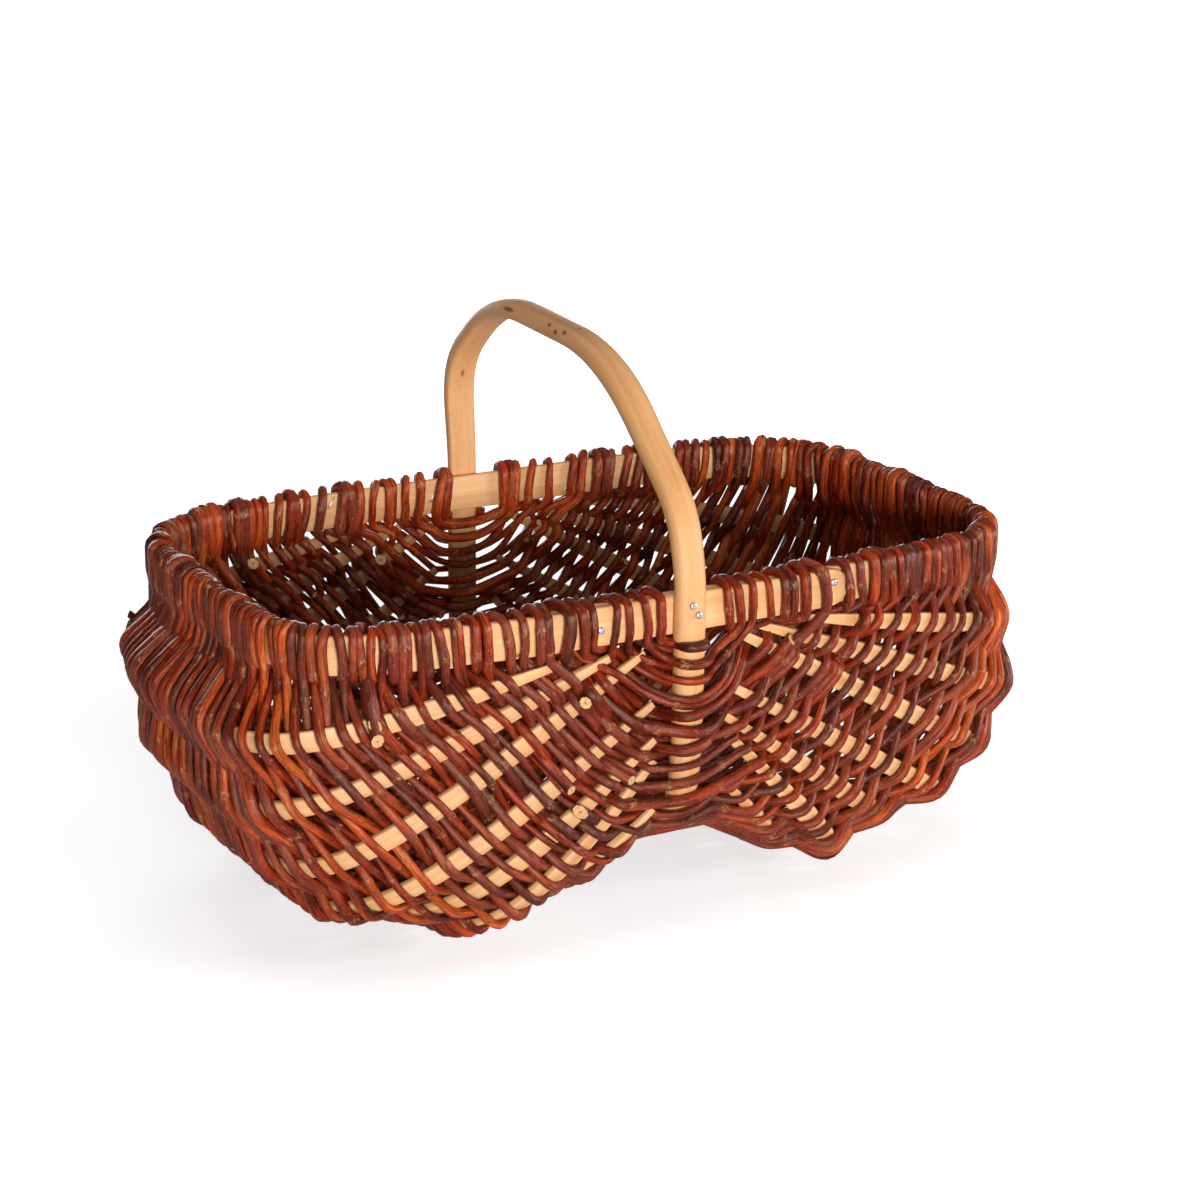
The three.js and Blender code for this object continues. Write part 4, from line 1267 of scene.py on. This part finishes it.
def wood_material(name, marks=()):
    """Peeled and split wood: straw coloured with long grain, stains, knots and marks at set places."""
    s = Shader(name)
    grain = s.attribute("grain", "Vector")
    bands = s.noise(s.scaled(grain, 0.006, 0.22), 4.0, 0.6)
    fibres = s.noise(s.scaled(grain, 0.05, 2.2), 3.0, 0.6)
    colour = s.ramp(bands, (
        (0.25, srgb(202, 141, 90)),
        (0.5, srgb(226, 170, 116)),
        (0.75, srgb(240, 195, 145)),
    ))
    colour = s.tint(colour, s.attribute("tone"), 0.6, srgb(206, 144, 84))
    colour = s.vary(colour, fibres, 0.86, 1.12)
    stain = s.step(s.noise(s.scaled(grain, 0.016, 0.1), 3.0), 0.6, 0.75)
    colour = s.tint(colour, stain, 0.45, srgb(198, 124, 62))
    cells = {"Vector": s.scaled(grain, 0.02, 0.05), "Scale": 1.0}
    knots = s.step(s.node("ShaderNodeTexVoronoi", cells, "Distance"), 0.075, 0.03)
    colour = s.tint(colour, knots, 0.85, srgb(112, 66, 36))
    flecks = s.step(s.noise(s.scaled(grain, 0.14, 0.9), 3.0, 0.6), 0.64, 0.74)
    colour = s.tint(colour, flecks, 0.45, srgb(156, 96, 50))
    for along, aside, out, half_length, half_width in marks:
        spot = s.vectors("SUBTRACT", grain, (along, aside, out))
        spot = s.scaled(spot, 1 / half_length, 1 / half_width)
        distance = s.vectors("LENGTH", spot, output="Value")
        colour = s.tint(colour, s.step(distance, 1.2, 0.5), 0.9, srgb(98, 54, 28))
    roughness = s.plus(s.times(fibres, 0.2), 0.42)
    return s.finish(base_color=colour, roughness=roughness, normal=s.bump(fibres, 0.35, 0.3))


def zinc_material():
    """Zinc-coated steel, bright with dull patches."""
    s = Shader("zinc")
    where = s.node("ShaderNodeTexCoord", {}, "Object")
    patches = s.node("ShaderNodeTexNoise", {"Vector": where, "Scale": 900.0, "Detail": 3.0}, "Fac")
    colour = s.ramp(patches, ((0.3, srgb(150, 154, 160)), (0.7, srgb(226, 229, 233))))
    roughness = s.plus(s.times(patches, 0.3), 0.22)
    normal = s.bump(patches, 0.2, 0.1)
    return s.finish(base_color=colour, metallic=0.9, roughness=roughness, normal=normal)


# Nails, with the radius and height of each ring of a head, and staples
NAIL_PROFILE = ((2.0, -0.2), (2.0, 0.45), (1.85, 0.75), (1.4, 0.95), (0.7, 1.08), (0.05, 1.1))
NAIL_SIDES = 24
NAIL_SEAT = 1.0
STAPLE_RADIUS = 0.6
STAPLE_SIDES = 10
STAPLE_CROWN = 8.0
STAPLE_LEG = 3.0
STAPLE_BEND = 0.9
STAPLE_BEND_CUT = 0.3
STAPLE_LEAN = math.radians(58)


def head_rings(centre, axis, profile):
    """Rings of a turned piece: radius and height pairs along an axis."""
    side = unit(np.cross(axis, UP))
    up = np.cross(side, axis)
    theta = np.arange(NAIL_SIDES) * 2 * math.pi / NAIL_SIDES
    ring = side * np.cos(theta)[:, None] + up * np.sin(theta)[:, None]
    return np.stack([centre + axis * height + ring * radius for radius, height in profile])


def fastener_box(name):
    """Corners of a fastener's node in the rim's own frame."""
    return [np.array(corner) / MM - RIM_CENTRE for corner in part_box(name)]


def add_nails(tubes):
    """Domed nail heads where the part has its nails."""
    for name in NAILS:
        low, high = fastener_box(name)
        outward = 1 if name.startswith("back") else -1
        centre = (low + high) / 2
        centre[1] = (high[1] if outward > 0 else low[1]) - outward * NAIL_SEAT
        profile = np.array(NAIL_PROFILE)
        rings = head_rings(centre, np.array([0.0, outward, 0.0]), profile)
        tubes.add(rings, along_path(profile @ np.eye(2, 3)))


def add_staples(tubes):
    """Wire staples with bent ends where the part has its staples."""
    lean = np.array([math.cos(STAPLE_LEAN), 0.0, math.sin(STAPLE_LEAN)])
    deep = np.array([0.0, 1.0, 0.0])
    half = STAPLE_CROWN / 2 - STAPLE_RADIUS
    cut = STAPLE_BEND * STAPLE_BEND_CUT
    leg = [(half, STAPLE_LEG), (half, STAPLE_BEND), (half - cut, cut), (half - STAPLE_BEND, 0.0)]
    bends = [(-out, depth) for out, depth in leg] + leg[::-1]
    theta = np.arange(STAPLE_SIDES) * 2 * math.pi / STAPLE_SIDES
    cos, sin = np.cos(theta)[None, :, None], np.sin(theta)[None, :, None]
    for name in STAPLES:
        low, high = fastener_box(name)
        middle = (low + high) / 2
        middle[1] = low[1] + STAPLE_RADIUS
        path = np.array([middle + lean * out + deep * depth for out, depth in bends])
        side = np.tile(np.cross(lean, deep), (len(path), 1))
        up = np.cross(unit(np.gradient(path, axis=0)), side)
        spokes = side[:, None] * cos + up[:, None] * sin
        tubes.add(path[:, None] + STAPLE_RADIUS * spokes, along_path(path))


# The pieces
bark = bark_material()
wood = wood_material("peeled_wood")
handle_wood = wood_material("handle_wood", HANDLE_MARKS)
zinc = zinc_material()

weave_nodes = [f"weave_{side}_{i}" for side in SIDES for i in range(1, KEEL + 1)]
weave_nodes += [f"rim_wrap_{side}" for side in SIDES]
for half in HALVES:
    rng = np.random.default_rng(WEAVE_SEEDS[half])
    rods = rods_of_half(half, rng)
    nodes = weave_nodes + [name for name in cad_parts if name.startswith(f"ear_rod_{half}")]
    for group in range(PIECES_PER_HALF):
        tubes = Tubes()
        for rod in rods[group::PIECES_PER_HALF]:
            add_rod(tubes, rod, rng)
        tubes.build(f"willow_{half}_{group + 1}", bark, nodes)

tubes = Tubes()
rim_strip(tubes)
tubes.build("rim", wood, ["rim_hoop"])
tubes = Tubes()
handle_strip(tubes)
tubes.build("hoop", handle_wood, ["handle_hoop"])
rng = np.random.default_rng(RIB_SEED)
for side, sign in SIDES.items():
    for line in range(1, KEEL):
        tubes = Tubes()
        rib_strip(tubes, line, sign, rng)
        tubes.build(f"split_rib_{side}_{line}", wood, [f"rib_{side}_{line}"])

tubes = Tubes()
add_nails(tubes)
tubes.build("nail_heads", zinc, NAILS)
tubes = Tubes()
add_staples(tubes)
tubes.build("staples", zinc, STAPLES)

# Floor, light and camera
CAMERA_AZIMUTH = math.radians(-30.115)
CAMERA_ELEVATION = math.radians(17.803)
CAMERA_ROLL = math.radians(0.807)
CAMERA_AT = (-739.27, -1303.55, 448.70)
CAMERA_LENS = 82.737
CAMERA_SENSOR = 36
FLOOR_SIZE = 20
FLOOR_TONE = (0.9, 0.9, 0.9, 1)
FLOOR_ROUGHNESS = 0.9
FLOOR_GLOW = (0.55, 1.0)
FLOOR_GLOW_REACH = (0.4, 1.2)
WORLD_LIGHT = 0.04
LAMP_AIM = (0, 0, 0.12)

# Lamps: place and size in metres, and power in watts
LAMPS = {
    "key": ((-0.7, -2.15, 0.46), (0.8, 0.35), 50),
    "fill": ((1.9, -1.2, 0.46), (0.7, 0.35), 26),
    "back": ((0.5, 2.2, 0.35), (1.8, 0.5), 20),
    "top": ((0.1, 0.9, 1.8), (1.6, 0.8), 6),
    "sky": ((-0.3, -0.7, 2.0), (1.6, 1.0), 7),
}

visual_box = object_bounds()


def studio_world():
    """White behind the object for the camera, and a softer light from all round for everything else."""
    world = bpy.data.worlds.new("studio")
    bpy.context.scene.world = world
    world.use_nodes = True
    tree = world.node_tree
    background = tree.nodes["Background"]
    background.inputs["Color"].default_value = (1, 1, 1, 1)
    path = tree.nodes.new("ShaderNodeLightPath")
    strength = tree.nodes.new("ShaderNodeMapRange")
    strength.inputs["To Min"].default_value = WORLD_LIGHT
    strength.inputs["To Max"].default_value = 1.0
    tree.links.new(path.outputs["Is Camera Ray"], strength.inputs["Value"])
    tree.links.new(strength.outputs[0], background.inputs["Strength"])


def floor_material():
    """White paper that looks a little brighter to the camera, so that only the shadow shows on it."""
    s = Shader("white_paper")
    path = s.node("ShaderNodeLightPath", {}, "Is Camera Ray")
    where = s.node("ShaderNodeNewGeometry", {}, "Position")
    distance = s.vectors("LENGTH", where, output="Value")
    limits = {
        "Value": distance,
        "From Min": FLOOR_GLOW_REACH[0],
        "From Max": FLOOR_GLOW_REACH[1],
        "To Min": FLOOR_GLOW[0],
        "To Max": FLOOR_GLOW[1],
    }
    glow = s.node("ShaderNodeMapRange", limits)
    s.put((1, 1, 1, 1), s.surface.inputs["Emission Color"])
    s.put(s.times(path, glow), s.surface.inputs["Emission Strength"])
    s.put(0.0, s.surface.inputs["Specular IOR Level"])
    return s.finish(base_color=FLOOR_TONE, roughness=FLOOR_ROUGHNESS)


def area_light(name, at, size, power):
    """Rectangular lamp that faces the basket."""
    data = bpy.data.lights.new(name, "AREA")
    data.energy = power
    data.shape = "RECTANGLE"
    data.size, data.size_y = size
    lamp = bpy.data.objects.new(name, data)
    bpy.context.scene.collection.objects.link(lamp)
    lamp.location = at
    lamp.rotation_mode = "QUATERNION"
    lamp.rotation_quaternion = (Vector(LAMP_AIM) - Vector(at)).to_track_quat("-Z", "Y")


studio_world()
bpy.ops.mesh.primitive_plane_add(size=FLOOR_SIZE, location=(0, 0, visual_box[0].z))
floor = bpy.context.object
floor.name = "floor"
floor.data.materials.append(floor_material())
for name, lamp in LAMPS.items():
    area_light(name, *lamp)

camera_data = bpy.data.cameras.new("camera")
camera_data.lens = CAMERA_LENS
camera_data.sensor_width = CAMERA_SENSOR
camera = bpy.data.objects.new("camera", camera_data)
bpy.context.scene.collection.objects.link(camera)
camera.location = place(np.array(CAMERA_AT))
view_back = Vector((
    math.sin(CAMERA_AZIMUTH) * math.cos(CAMERA_ELEVATION),
    -math.cos(CAMERA_AZIMUTH) * math.cos(CAMERA_ELEVATION),
    math.sin(CAMERA_ELEVATION),
))
camera.rotation_mode = "QUATERNION"
camera.rotation_quaternion = (-view_back).to_track_quat("-Z", "Y") @ Quaternion((0, 0, 1), CAMERA_ROLL)
bpy.context.scene.camera = camera
bpy.context.scene.view_settings.view_transform = "Standard"
